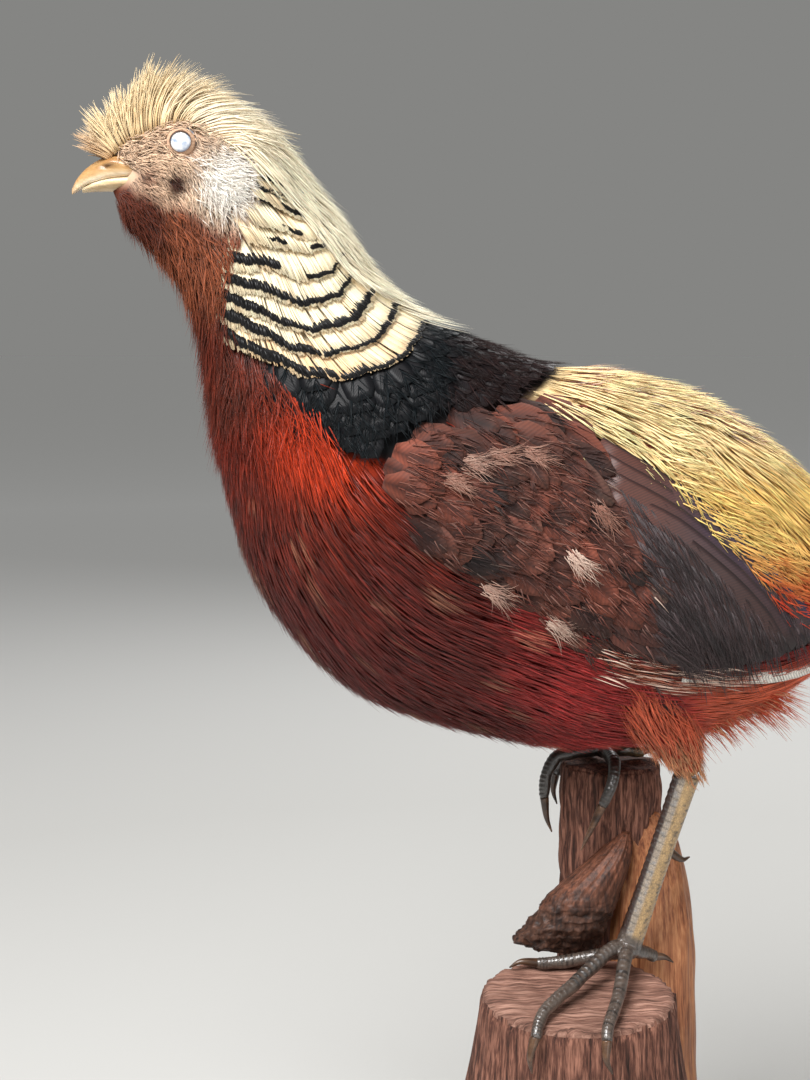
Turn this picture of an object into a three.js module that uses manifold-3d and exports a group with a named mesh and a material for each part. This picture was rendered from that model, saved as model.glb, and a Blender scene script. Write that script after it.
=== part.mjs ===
// A mounted male golden pheasant standing on a sawn stump with a broken upright behind it.
// Millimetres, +Z up. The bird faces -X and its left side is -Y. The origin is the middle of
// the base's underside. Neighbouring pieces keep a clearance of GAP.

import * as THREE from 'three';
import { mergeVertices } from 'three/addons/utils/BufferGeometryUtils.js';
import Module from 'manifold-3d';

const wasm = await Module();
wasm.setup();

// ---------------------------------------------------------------- driving dimensions

const GAP = 0.3;
const LEFT = -1;
const RIGHT = 1;

// Body outline in the bird's middle plane, from the bill root to the tail root.
// Each row: back x, back z, belly x, belly z, half width.
const BODY_STATIONS = [
  [-176.5, 474.5, -174.5, 466.0, 3.9],
  [-169.5, 485.0, -172.5, 460.0, 7.4],
  [-157.5, 492.5, -169.0, 454.0, 11.8],
  [-141.0, 496.5, -164.5, 448.5, 16.5],
  [-125.5, 493.0, -158.5, 443.0, 16.5],
  [-112.5, 481.0, -152.5, 436.0, 17.5],
  [-102.0, 467.0, -147.0, 428.0, 20.5],
  [-90.0, 451.5, -142.5, 415.7, 25.0],
  [-79.0, 434.0, -139.3, 398.3, 30.0],
  [-60.5, 419.0, -136.3, 376.5, 36.0],
  [-37.0, 409.5, -130.5, 349.0, 41.5],
  [-17.5, 402.5, -118.0, 313.0, 46.0],
  [10.0, 398.5, -82.0, 276.0, 49.0],
  [43.0, 389.5, -22.0, 258.0, 48.0],
  [58.5, 380.5, 13.9, 256.3, 45.0],
  [72.0, 371.0, 44.7, 261.1, 40.0],
  [85.5, 358.5, 67.0, 270.0, 33.0],
  [99.0, 343.0, 91.5, 286.0, 24.0],
  [111.0, 326.4, 109.7, 297.5, 14.0],
];
const BODY_SIDES = 18;
const BODY_STEP = 1;
const CORE_SIDES = 12;
const BODY_SQUARENESS = 2.15;

// Stations at which the body is parted into its named lengths.
const BODY_CUTS = { head: 0, neck: 5, breast: 9, belly: 12, rump: 15, end: 18 };
const CUT_GAP = 0.012;

// Feather coats that stand on the body or are let into it.
const RECESS_GAP = 0.45;
const CREST_DRAPE = 3.5;
const WING_DEPTH = 5.0;
const SIDE_REACH = 90;
const WING_INNER_Y = 9;

// Outlines in the side view: x, z.
const CAPE = {
  depth: 4.0,
  outline: [
    [-115.5, 471.4], [-119.0, 452.0], [-125.5, 439.5], [-130.3, 424.3], [-131.9, 410.9], [-123.0, 405.7],
    [-107.3, 400.0], [-92.0, 394.5], [-77.6, 394.5], [-65.0, 400.5], [-56.2, 413.5], [-50.0, 430.0],
    [-98.0, 490.0],
  ],
};
const CREST_OUTLINE = [
  [-195.0, 470.0], [-178.0, 478.0], [-165.0, 484.0], [-146.0, 488.5], [-132.0, 486.0], [-120.5, 479.0],
  [-112.0, 467.0], [-97.5, 453.5], [-85.0, 441.0], [-76.0, 430.5], [-64.7, 422.0], [-52.0, 417.5],
  [-50.0, 440.0], [-80.0, 540.0], [-200.0, 540.0],
];
const WING_COVERT_OUTLINE = [
  [-72.0, 363.0], [-67.0, 375.5], [-51.0, 383.0], [-18.1, 389.5], [3.0, 378.0], [7.0, 352.0], [17.0, 324.0],
  [24.0, 296.5], [18.4, 296.7], [-3.1, 308.2], [-31.5, 321.8], [-52.8, 333.2], [-67.0, 347.0],
];
const WING_FLIGHT_OUTLINE = [
  [3.7, 378.0], [20.7, 367.0], [26.0, 356.0], [38.6, 344.0], [53.0, 329.5], [66.0, 317.0],
  [80.6, 300.0], [79.6, 293.5], [39.7, 294.3], [24.7, 296.5], [17.7, 324.0], [7.7, 352.0],
];

// Crest over the skull: top x, top z, foot x, foot z, half width.
const CREST_STATIONS = [
  [-189.0, 478.0, -186.5, 473.5, 2.0],
  [-184.5, 490.0, -178.0, 472.0, 8.0],
  [-175.5, 500.5, -168.0, 472.0, 13.0],
  [-164.5, 507.5, -158.0, 472.0, 16.5],
  [-151.5, 514.5, -149.0, 472.0, 18.5],
  [-137.0, 511.5, -140.0, 470.0, 19.5],
  [-124.0, 502.5, -131.0, 466.0, 19.5],
  [-112.0, 487.5, -122.0, 460.0, 18.5],
  [-103.5, 474.0, -112.0, 452.0, 14.0],
];
const CREST_SIDES = 14;

// Bill: x, top z, bottom z, half width.
const BILL_UPPER_STATIONS = [
  [-164.0, 477.5, 470.3, 7.8],
  [-171.0, 478.4, 469.9, 6.9],
  [-177.0, 475.6, 468.8, 5.3],
  [-182.5, 472.0, 467.2, 3.5],
  [-186.3, 468.0, 465.2, 1.9],
  [-188.2, 465.3, 464.2, 0.6],
];
const BILL_LOWER_STATIONS = [
  [-164.0, 469.7, 463.8, 6.8],
  [-172.0, 469.3, 464.4, 5.6],
  [-179.0, 468.0, 464.6, 3.5],
  [-184.2, 465.6, 464.2, 1.4],
];
const BILL_SIDES = 14;

// Glass eyes.
const EYE_RADIUS = 6.2;
const EYE_SIDES = 10;
const EYE_RINGS = 7;
const EYE_CENTRE = { x: -145.7, y: 10.6, z: 481.0 };

// Legs: each ankle, the pad under the toes, and the feathered thigh above the ankle.
const TARSUS_RADIUS = 4.2;
const TARSUS_END_SWELL = 1.12;
const TARSUS_WAIST = 0.12;
const TARSUS_PAD_INSET = 1.2;
const TARSUS_SIDES = 10;
const TARSUS_STEPS = 4;
const LEGS = {
  left: {
    ankle: [41, -17, 248],
    pad: [20, -16, 180],
    spur: [[35, -13.5, 217], [40.5, -10.5, 213], [44, -9, 213.5]],
    thigh: [[8, -22, 303, 21], [24, -21, 281, 17], [36, -19, 262, 10.5], [42.5, -17.2, 249.5, 5]],
    toes: {
      inner: [[20, -16, 180], [9.5, -13, 176], [-6, -12, 172.9], [-15.5, -12, 172.3]],
      middle: [[20, -16, 180], [13, -20, 181], [-2, -33, 173], [-14.5, -46, 167.2], [-18.5, -54.5, 160]],
      outer: [[20, -16, 180], [18, -23, 179], [13.5, -39, 170.5], [8, -54, 165.2], [7, -58.5, 160.5]],
      hind: [[20, -16, 180], [27, -11, 176.5], [32, -9.6, 174]],
    },
    claws: {
      inner: [[-15.5, -12, 172.3], [-20.5, -12.5, 173], [-25, -13, 171]],
      middle: [[-18.5, -54.5, 160], [-20.2, -56.5, 154.5], [-19.4, -56.2, 148.5]],
      outer: [[7, -58.5, 160.5], [6.6, -61, 156], [8.8, -61, 150.5]],
      hind: [[32, -9.6, 174], [35.2, -9.4, 173.6], [38.5, -9.4, 171.6]],
    },
  },
  right: {
    ankle: [82, 29, 282],
    pad: [14, 20, 249.5],
    spur: [[50, 24, 263.5], [54, 20, 261], [57.5, 17.5, 261]],
    thigh: [[22, 26, 312, 17], [44, 30, 302, 15], [66, 31, 291, 9.5], [83.5, 29.2, 282.8, 4.8]],
    toes: {
      inner: [[14, 20, 249.5], [15, 11, 248.8], [16, 1.5, 247.6], [14.5, -3.2, 240.5], [10.5, -4, 231]],
      middle: [[14, 20, 249.5], [3, 19, 247.8], [-5, 18.2, 245.8], [-9.3, 17.6, 237.5], [-9.8, 17, 228.5]],
      outer: [[14, 20, 249.5], [9, 30, 247.8], [4, 39, 246.2], [0, 43.8, 239], [-2.5, 44.6, 231]],
      hind: [[14, 20, 249.5], [24, 22, 247.6], [31, 22.5, 247]],
    },
    claws: {
      inner: [[10.5, -4, 231], [6.5, -4.4, 222.5], [3, -3.6, 214.5]],
      middle: [[-9.8, 17, 228.5], [-8.8, 16.8, 221.5], [-6.6, 16.6, 215.5]],
      outer: [[-2.5, 44.6, 231], [-3.4, 44.8, 224.5], [-2, 44, 219]],
      hind: [[31, 22.5, 247], [35, 22.8, 247.8], [40.2, 23, 245.6]],
    },
  },
};
const THIGH_SIDES = 12;
const TOE_ROOT_RADIUS = 3.3;
const TOE_TIP_RADIUS = 2.2;
const TOE_SIDES = 6;
const TOE_STEPS = 4;
const PAD_RADIUS = 4.6;
const CLAW_ROOT_RADIUS = 1.9;
const CLAW_TIP_RADIUS = 0.35;
const CLAW_STEPS = 3;
const CLAW_START = 0.16;
const SPUR_ROOT_RADIUS = 2.1;

// Tail: nine graduated pairs in vaulted layers. The midline starts at TAIL_ROOT and droops.
const TAIL_ROOT = { x: 112.0, z: 319.5 };
const TAIL_LENGTHS = [664, 570, 480, 400, 330, 270, 222, 186, 160];
const TAIL_WIDTHS = [29, 27, 25, 23, 22, 21, 20, 19, 18];
const TAIL_LEVEL_SHARE = 0.92;
const TAIL_ROOT_WIDTH = 6.0;
const TAIL_FULL_WIDTH_AT = 0.28;
const TAIL_SHAFT_AT = 0.45;
const TAIL_ROOT_SPACING = 0.4;
const TAIL_LONG_RANKS = 3;
const TAIL_TIP_START = 0.7;
const TAIL_TIP_BLUNTNESS = 0.2;
const TAIL_TIP_CURVE = 1.6;
const TAIL_ROOT_SLOPE = Math.tan(THREE.MathUtils.degToRad(20));
const TAIL_TIP_SLOPE = Math.tan(THREE.MathUtils.degToRad(26));
const TAIL_LEVEL_LENGTH = 610;
const TAIL_LAYER = 1.4;
const TAIL_THICKNESS = 0.85;
const TAIL_VAULT = 0.42;
const TAIL_SPLAY = 0.016;
const TAIL_STEPS_LONG = 8;
const TAIL_STEPS_SHORT = 4;

// Long tail coverts: two narrow blades over the tail's shoulders, and a soft wedge below it.
const COVERT_LENGTH = 215;
const COVERT_LIFT = 1.2;
const COVERT_DEPTH = 5.0;
const COVERT_TIP_DEPTH = 0.9;
const COVERT_EDGE = 0.6;
const COVERT_INNER = { root: 1.5, tip: 14 };
const COVERT_WIDTH = { root: 13, tip: 1.5, curve: 1.5 };
const COVERT_CROWN = [0.25, 1, 0.25];
const COVERT_STEPS = 8;
const UNDERTAIL_STATIONS = [
  [68.0, 290.0, 276.0, 18.0],
  [92.0, 297.5, 286.5, 18.0],
  [118.0, 298.5, 289.0, 15.0],
  [150.0, 287.0, 279.5, 11.0],
  [182.0, 275.0, 269.5, 6.0],
  [206.0, 265.5, 263.3, 2.2],
];

// Wood. Ring rows: height, centre x, centre y, half x, half y. The upright and the heartwood limb
// are let into the stump.
const STUMP_TOP = { z: 171.6, tilt: Math.tan(THREE.MathUtils.degToRad(10)), centreY: -27.0 };
const STUMP_HALF = { x: 38.0, y: 27.0 };
const STUMP_FOOT_HALF = { x: 82.0, y: 74.0 };
const STUMP_FLARE = 1.4;
const STUMP_SIDES = 24;
const STUMP_RINGS = 5;
const STUMP_LOBES = 5;
const STUMP_LOBE_DEPTH = 0.05;
const UPRIGHT_RINGS = [
  [40.0, 15.0, 22.5, 27.0, 23.5],
  [75.0, 15.5, 21.5, 24.0, 21.5],
  [130.0, 16.5, 20.5, 21.0, 19.5],
  [190.0, 17.0, 20.0, 20.5, 19.0],
  [236.0, 17.0, 20.0, 20.5, 19.0],
  [243.5, 17.0, 20.0, 19.0, 17.5],
];
const LIMB_RINGS = [
  [40.0, 32.0, 9.0, 26.5, 24.5],
  [75.0, 32.5, 10.0, 23.5, 21.5],
  [114.0, 32.0, 10.5, 20.5, 18.0],
  [168.0, 31.0, 11.5, 19.5, 16.0],
  [190.0, 30.0, 12.0, 18.3, 14.5],
  [212.0, 28.5, 12.5, 15.2, 11.0],
  [223.0, 27.0, 13.0, 10.5, 7.0],
  [227.0, 26.0, 13.0, 5.0, 4.0],
];
const WOOD_SIDES = 16;

// Broken side branch, leaning on the upright: height, centre x, centre y, half x, half y.
const STUB_RINGS = [
  [173.4, -3.0, 1.5, 13.0, 7.0],
  [176.5, -5.6, 1.0, 18.0, 8.5],
  [181.5, -3.6, -1.0, 17.6, 10.3],
  [188.0, 0.5, -2.0, 16.0, 10.3],
  [193.0, 3.0, -2.0, 15.0, 10.0],
  [198.0, 6.0, -1.5, 13.0, 9.5],
  [208.0, 13.5, -0.5, 8.5, 8.0],
  [214.6, 18.0, 1.0, 5.3, 6.0],
  [220.0, 21.0, 3.0, 1.6, 3.0],
];

// ---------------------------------------------------------------- finishes

const finish = (color, roughness, metalness = 0) => ({ color, roughness, metalness });
const FINISHES = {
  crest: finish(0xe6cf94, 0.6),
  cape: finish(0xd9bd86, 0.6),
  face: finish(0xc39a78, 0.8),
  throat: finish(0x9a5a34, 0.8),
  breast: finish(0xb2381b, 0.6),
  belly: finish(0x7c2119, 0.6),
  rump: finish(0xd9a243, 0.6),
  covert: finish(0x6b3c2c, 0.65),
  flight: finish(0x3d3442, 0.5),
  thigh: finish(0xb3502c, 0.75),
  tail: finish(0x5a3a22, 0.55),
  scarlet: finish(0xb5341a, 0.55),
  horn: finish(0xc9a46a, 0.35),
  scale: finish(0xa89a7c, 0.45),
  claw: finish(0x4a3b2d, 0.35),
  glass: finish(0xdfe3ea, 0.05),
  bark: finish(0x7a5243, 0.9),
  heartwood: finish(0x9a5730, 0.55),
};

// ---------------------------------------------------------------- shape helpers

const vec = (x, y, z) => new THREE.Vector3(x, y, z);

/** Closes a stack of equal rings into one outward-facing mesh. */
function loft(rings) {
  const sides = rings[0].length;
  const positions = [];
  const faces = [];
  rings.forEach((ring) => ring.forEach((p) => positions.push(p.x, p.y, p.z)));
  const capCentre = (ring) => {
    const centre = ring.reduce((sum, p) => sum.add(p), vec(0, 0, 0)).divideScalar(sides);
    positions.push(centre.x, centre.y, centre.z);
    return positions.length / 3 - 1;
  };
  for (let r = 0; r < rings.length - 1; r += 1) {
    for (let s = 0; s < sides; s += 1) {
      const next = (s + 1) % sides;
      const a = r * sides + s;
      const b = r * sides + next;
      faces.push(a, b, b + sides, a, b + sides, a + sides);
    }
  }
  const first = capCentre(rings[0]);
  const last = capCentre(rings[rings.length - 1]);
  const top = (rings.length - 1) * sides;
  for (let s = 0; s < sides; s += 1) {
    const next = (s + 1) % sides;
    faces.push(first, next, s, last, top + s, top + next);
  }
  return outward(geometryOf(positions, faces));
}

/** An indexed geometry from flat positions and triangle indices. */
function geometryOf(positions, faces) {
  const geometry = new THREE.BufferGeometry();
  geometry.setAttribute('position', new THREE.Float32BufferAttribute(positions, 3));
  geometry.setIndex(faces);
  return geometry;
}

/** Turns every face over when the enclosed volume is negative. */
function outward(geometry) {
  const index = Array.from(geometry.index.array);
  const p = geometry.attributes.position;
  const corner = (i) => vec(p.getX(i), p.getY(i), p.getZ(i));
  let volume = 0;
  for (let i = 0; i < index.length; i += 3) {
    const [a, b, c] = [corner(index[i]), corner(index[i + 1]), corner(index[i + 2])];
    volume += a.dot(b.cross(c));
  }
  if (volume < 0) {
    for (let i = 0; i < index.length; i += 3) {
      [index[i + 1], index[i + 2]] = [index[i + 2], index[i + 1]];
    }
    geometry.setIndex(index);
  }
  return geometry;
}

/** A geometry with only its positions left. */
function stripped(geometry) {
  geometry.deleteAttribute('normal');
  geometry.deleteAttribute('uv');
  return geometry;
}

/** A manifold solid of a closed geometry. */
function solidOf(geometry) {
  const merged = mergeVertices(stripped(geometry.clone()));
  return new wasm.Manifold(new wasm.Mesh({
    numProp: 3,
    vertProperties: new Float32Array(merged.attributes.position.array),
    triVerts: new Uint32Array(merged.index.array),
  }));
}

/** The geometry of a manifold solid. */
function geometryOfSolid(solid) {
  const mesh = solid.getMesh();
  return geometryOf(Array.from(mesh.vertProperties), Array.from(mesh.triVerts));
}

/** A geometry whose surface is pushed out along its normals. */
function grown(geometry, distance = GAP) {
  const copy = geometry.clone();
  copy.computeVertexNormals();
  const p = copy.attributes.position;
  const n = copy.attributes.normal;
  for (let i = 0; i < p.count; i += 1) {
    p.setXYZ(
      i,
      p.getX(i) + n.getX(i) * distance,
      p.getY(i) + n.getY(i) * distance,
      p.getZ(i) + n.getZ(i) * distance,
    );
  }
  return copy;
}

/** A geometry less the space of its neighbours, each grown by GAP. */
function cutBy(geometry, ...neighbours) {
  const cuts = neighbours.map((n) => solidOf(grown(n)));
  return geometryOfSolid(cuts.reduce((solid, cut) => solid.subtract(cut), solidOf(geometry)));
}

/** The space that two geometries share. */
function common(a, b) {
  return geometryOfSolid(solidOf(a).intersect(solidOf(b)));
}

/** A side-view outline pushed through the bird from y = from to y = to. */
function prism(outline, from, to) {
  const shape = new THREE.Shape(outline.map(([x, z]) => new THREE.Vector2(x, z)));
  const geometry = new THREE.ExtrudeGeometry(shape, { depth: to - from, bevelEnabled: false });
  geometry.rotateX(Math.PI / 2);
  geometry.translate(0, to, 0);
  return geometry;
}

/** A superellipse coordinate: the signed power of a cosine or sine. */
const rounded = (value, power) => Math.sign(value) * Math.abs(value) ** (2 / power);

/** A ring in the plane of `up` and Y, round a centre. */
function uprightRing(centre, up, half, width, sides, power = 2) {
  return Array.from({ length: sides }, (_, s) => {
    const angle = (2 * Math.PI * s) / sides;
    const lift = rounded(Math.cos(angle), power) * half;
    const out = rounded(Math.sin(angle), power) * width;
    return centre.clone().addScaledVector(up, lift).add(vec(0, out, 0));
  });
}

/** A smooth curve in the middle plane through two columns of a table. */
const sideCurve = (rows, xColumn, zColumn) =>
  new THREE.CatmullRomCurve3(rows.map((row) => vec(row[xColumn], 0, row[zColumn])));
/** One column of a table as a smooth curve, read by its y. */
const columnCurve = (rows, column) =>
  new THREE.CatmullRomCurve3(rows.map((row, i) => vec(i, row[column], 0)));

/** A loft between a top and a bottom line in the middle plane, grown by a coat depth. */
function saddleLoft(rows, from, to, step, sides, power, depth = 0) {
  const last = rows.length - 1;
  const top = sideCurve(rows, 0, 1);
  const bottom = sideCurve(rows, 2, 3);
  const width = columnCurve(rows, 4);
  const between = Array.from({ length: Math.ceil(last / step) + 1 }, (_, i) => i * step);
  const stations = [from, ...between.filter((s) => s > from + CUT_GAP && s < to - CUT_GAP), to];
  const rings = stations.map((station) => {
    const t = station / last;
    const high = top.getPoint(t);
    const low = bottom.getPoint(t);
    const up = high.clone().sub(low).normalize();
    const half = high.distanceTo(low) / 2 + depth;
    const centre = high.clone().add(low).multiplyScalar(0.5);
    return uprightRing(centre, up, half, width.getPoint(t).y + depth, sides, power);
  });
  return loft(rings);
}

/** The bird's body between two stations, grown by a coat depth. */
const bodyLoft = (from, to, depth = 0) =>
  saddleLoft(BODY_STATIONS, from, to, BODY_STEP, BODY_SIDES, BODY_SQUARENESS, depth);

/** The plainer core that is left under a coat let into the body. */
const bodyCore = (from, to, depth) =>
  saddleLoft(BODY_STATIONS, from, to, BODY_STEP, CORE_SIDES, BODY_SQUARENESS, -depth);

/** A loft of upright rings at rows of x, top z, bottom z and half width. */
function uprightLoft(rows, sides, power = 2) {
  return loft(rows.map(([x, top, bottom, width]) =>
    uprightRing(vec(x, 0, (top + bottom) / 2), vec(0, 0, 1), (top - bottom) / 2, width, sides, power)));
}

/** A tapering round limb along a smooth curve. */
function limb(points, radiusAt, sides, steps, from = 0) {
  const curve = new THREE.CatmullRomCurve3(points.map((p) => vec(...p.slice(0, 3))));
  const rings = Array.from({ length: steps + 1 }, (_, i) => {
    const t = from + ((1 - from) * i) / steps;
    const centre = curve.getPoint(t);
    const along = curve.getTangent(t);
    const sideways = vec(0, 0, 1).cross(along).normalize();
    const across = along.clone().cross(sideways);
    const radius = radiusAt(t);
    return Array.from({ length: sides }, (__, s) => {
      const angle = (2 * Math.PI * s) / sides;
      return centre.clone()
        .addScaledVector(sideways, Math.cos(angle) * radius)
        .addScaledVector(across, Math.sin(angle) * radius);
    });
  });
  return loft(rings);
}

/** A level ring of wood, round or gently lobed. */
function levelRing([z, x, y, halfX, halfY], sides) {
  return Array.from({ length: sides }, (_, s) => {
    const angle = (2 * Math.PI * s) / sides;
    return vec(x + Math.cos(angle) * halfX, y + Math.sin(angle) * halfY, z);
  });
}

// ---------------------------------------------------------------- head

const birdRange = [BODY_CUTS.head, BODY_CUTS.end];
const coreRange = [BODY_CUTS.neck - 2, BODY_CUTS.breast + 2];
const bodyWhole = bodyLoft(...birdRange);
const bodyClear = bodyLoft(...birdRange, GAP);

/** One named length of the body, with half a cut at each inner end. */
function bodyPart(from, to) {
  const start = from === BODY_CUTS.head ? from : from + CUT_GAP;
  const stop = to === BODY_CUTS.end ? to : to - CUT_GAP;
  return bodyLoft(start, stop);
}

function makeEye(side) {
  const eye = new THREE.SphereGeometry(EYE_RADIUS, EYE_SIDES, EYE_RINGS);
  eye.translate(EYE_CENTRE.x, side * EYE_CENTRE.y, EYE_CENTRE.z);
  return mergeVertices(stripped(eye));
}

const billUpper = uprightLoft(BILL_UPPER_STATIONS, BILL_SIDES);
const billLower = cutBy(uprightLoft(BILL_LOWER_STATIONS, BILL_SIDES), billUpper);
const eyes = { left: makeEye(LEFT), right: makeEye(RIGHT) };

/** The crest stands on the skull and drapes as a band down the nape. */
function makeCrest() {
  const last = CREST_STATIONS.length - 1;
  const skullCrest = saddleLoft(CREST_STATIONS, 0, last, 1, CREST_SIDES, BODY_SQUARENESS);
  const drape = bodyLoft(BODY_CUTS.neck - 1, BODY_CUTS.breast + 1, CREST_DRAPE);
  const mass = solidOf(skullCrest).add(solidOf(drape));
  const band = solidOf(prism(CREST_OUTLINE, -SIDE_REACH, SIDE_REACH));
  return geometryOfSolid(mass.intersect(band).subtract(solidOf(bodyClear)));
}

// ---------------------------------------------------------------- coats let into the body

/** A coat let into the body inside a side-view outline, down to a depth. */
function insetCoat({ outline, depth }) {
  const band = prism(outline, -SIDE_REACH, SIDE_REACH);
  const core = bodyCore(...coreRange, depth);
  return geometryOfSolid(solidOf(common(bodyWhole, band)).subtract(solidOf(core)));
}

/** A body part with the room for a coat taken out of its surface. */
function recessed(shape, { outline, depth }) {
  const room = solidOf(grown(mergeVertices(stripped(prism(outline, -SIDE_REACH, SIDE_REACH))), RECESS_GAP));
  const core = solidOf(bodyCore(...coreRange, depth + GAP));
  const whole = solidOf(shape);
  return geometryOfSolid(whole.subtract(room).add(whole.intersect(core)));
}

const cape = insetCoat(CAPE);

/** A wing piece that lies on the body's side. */
function wingPiece(outline, side) {
  const span = side === LEFT ? [-SIDE_REACH, -WING_INNER_Y] : [WING_INNER_Y, SIDE_REACH];
  const shell = common(bodyLoft(...birdRange, WING_DEPTH), prism(outline, ...span));
  return geometryOfSolid(solidOf(shell).subtract(solidOf(bodyClear)));
}

// ---------------------------------------------------------------- legs and feet

/** The feathered thigh as a loft of rings along its own line. */
function makeThigh(rows) {
  const last = rows.length - 1;
  const radius = columnCurve(rows, 3);
  return limb(rows, (t) => radius.getPoint(t).y, THIGH_SIDES, last * 2);
}

function makeTarsus({ ankle, pad }) {
  const start = vec(...ankle);
  const end = vec(...pad);
  const along = end.clone().sub(start).normalize();
  start.addScaledVector(along, TARSUS_RADIUS);
  end.addScaledVector(along, -TARSUS_RADIUS * TARSUS_PAD_INSET);
  const swell = (t) => TARSUS_RADIUS * (TARSUS_END_SWELL - TARSUS_WAIST * Math.sin(Math.PI * t));
  return limb([start.toArray(), end.toArray()], swell, TARSUS_SIDES, TARSUS_STEPS);
}

/** The four toes joined at the pad. */
function makeFoot({ pad, toes }) {
  const taper = (t) => THREE.MathUtils.lerp(TOE_ROOT_RADIUS, TOE_TIP_RADIUS, t);
  const ball = new THREE.SphereGeometry(PAD_RADIUS, TARSUS_SIDES, TOE_SIDES);
  ball.translate(...pad);
  return geometryOfSolid(Object.values(toes).reduce(
    (foot, line) => foot.add(solidOf(limb(line, taper, TOE_SIDES, TOE_STEPS))),
    solidOf(ball),
  ));
}

function makeClaw(line, rootRadius = CLAW_ROOT_RADIUS) {
  const taper = (t) => THREE.MathUtils.lerp(rootRadius, CLAW_TIP_RADIUS, t);
  return limb(line, taper, TOE_SIDES, CLAW_STEPS, CLAW_START);
}

// ---------------------------------------------------------------- tail

/** Height of the tail's midline at a distance behind its root. */
function tailLine(distance) {
  const bend = (TAIL_TIP_SLOPE - TAIL_ROOT_SLOPE) / (2 * TAIL_LEVEL_LENGTH);
  return TAIL_ROOT.z - TAIL_ROOT_SLOPE * distance - bend * distance * distance;
}

/** Width of a tail feather along its length: narrow root, full blade, rounded tip. */
function bladeWidth(rank, t) {
  const spread = THREE.MathUtils.smoothstep(t, 0, TAIL_FULL_WIDTH_AT);
  const fade = THREE.MathUtils.smoothstep(t, TAIL_TIP_START, 1);
  const tip = Math.sqrt(Math.max(0, 1 - fade ** TAIL_TIP_CURVE));
  const full = THREE.MathUtils.lerp(TAIL_ROOT_WIDTH, TAIL_WIDTHS[rank], spread);
  return full * Math.max(tip, TAIL_TIP_BLUNTNESS);
}

/** One vaulted tail feather; sections stand across the tail, layered under the central pair. */
function tailFeather(rank, side) {
  const reach = TAIL_LENGTHS[rank] * TAIL_LEVEL_SHARE;
  const steps = rank < TAIL_LONG_RANKS ? TAIL_STEPS_LONG : TAIL_STEPS_SHORT;
  const rings = Array.from({ length: steps + 1 }, (_, i) => {
    const t = i / steps;
    const distance = reach * t;
    const inner = GAP / 2 + rank * (TAIL_ROOT_SPACING + distance * TAIL_SPLAY);
    const width = bladeWidth(rank, t);
    const height = (y) => tailLine(distance) - TAIL_LAYER * rank - y * TAIL_VAULT;
    const across = [inner, inner + width * TAIL_SHAFT_AT, inner + width];
    const top = across.map((y) => vec(TAIL_ROOT.x + distance, side * y, height(y)));
    const under = across.map((y) => vec(TAIL_ROOT.x + distance, side * y, height(y) - TAIL_THICKNESS));
    return [...top, ...under.reverse()];
  });
  return loft(rings);
}

/** A narrow scarlet covert lying on the tail's shoulder. */
function tailCovert(side) {
  const rings = Array.from({ length: COVERT_STEPS + 1 }, (_, i) => {
    const t = i / COVERT_STEPS;
    const distance = COVERT_LENGTH * t;
    const inner = THREE.MathUtils.lerp(COVERT_INNER.root, COVERT_INNER.tip, t);
    const width = THREE.MathUtils.lerp(COVERT_WIDTH.root, COVERT_WIDTH.tip, t ** COVERT_WIDTH.curve);
    const depth = THREE.MathUtils.lerp(COVERT_DEPTH, COVERT_TIP_DEPTH, t);
    const height = (y) => tailLine(distance) - y * TAIL_VAULT + COVERT_LIFT;
    const across = [inner, inner + width / 2, inner + width];
    const foot = across.map((y) => vec(TAIL_ROOT.x + distance, side * y, height(y)));
    const top = across.map((y, k) =>
      vec(TAIL_ROOT.x + distance, side * y, height(y) + COVERT_EDGE + depth * COVERT_CROWN[k]));
    return [...top, ...foot.reverse()];
  });
  return loft(rings);
}

// ---------------------------------------------------------------- wood

/** The sawn stump: a lobed root swell rising to a slanting flat top. */
function makeStump() {
  const rings = Array.from({ length: STUMP_RINGS + 1 }, (_, r) => {
    const rise = r / STUMP_RINGS;
    const flare = (1 - rise) ** STUMP_FLARE;
    const halfX = THREE.MathUtils.lerp(STUMP_HALF.x, STUMP_FOOT_HALF.x, flare);
    const halfY = THREE.MathUtils.lerp(STUMP_HALF.y, STUMP_FOOT_HALF.y, flare);
    const centreY = STUMP_TOP.centreY * (1 - flare);
    return Array.from({ length: STUMP_SIDES }, (__, s) => {
      const angle = (2 * Math.PI * s) / STUMP_SIDES;
      const lobe = 1 + STUMP_LOBE_DEPTH * flare * Math.cos(STUMP_LOBES * angle);
      const x = Math.cos(angle) * halfX * lobe;
      const y = centreY + Math.sin(angle) * halfY * lobe;
      return vec(x, y, rise * (STUMP_TOP.z + STUMP_TOP.tilt * y));
    });
  });
  return loft(rings);
}

const ringLoft = (rows) => loft(rows.map((row) => levelRing(row, WOOD_SIDES)));

// ---------------------------------------------------------------- assembly

const group = new THREE.Group();

/** Adds one named piece with its own finish. */
function place(name, geometry, look) {
  const shape = geometry.index ? geometry : mergeVertices(geometry);
  shape.computeVertexNormals();
  const mesh = new THREE.Mesh(shape, new THREE.MeshStandardMaterial(look));
  mesh.name = name;
  group.add(mesh);
}

const heartwood = ringLoft(LIMB_RINGS);
const upright = cutBy(ringLoft(UPRIGHT_RINGS), heartwood);
const stub = cutBy(ringLoft(STUB_RINGS), ringLoft(UPRIGHT_RINGS), heartwood);
const stump = cutBy(makeStump(), ringLoft(UPRIGHT_RINGS), heartwood);
place('perch_stump', stump, FINISHES.bark);
place('perch_upright', upright, FINISHES.bark);
place('perch_heartwood', heartwood, FINISHES.heartwood);
place('perch_stub', stub, FINISHES.bark);

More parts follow.
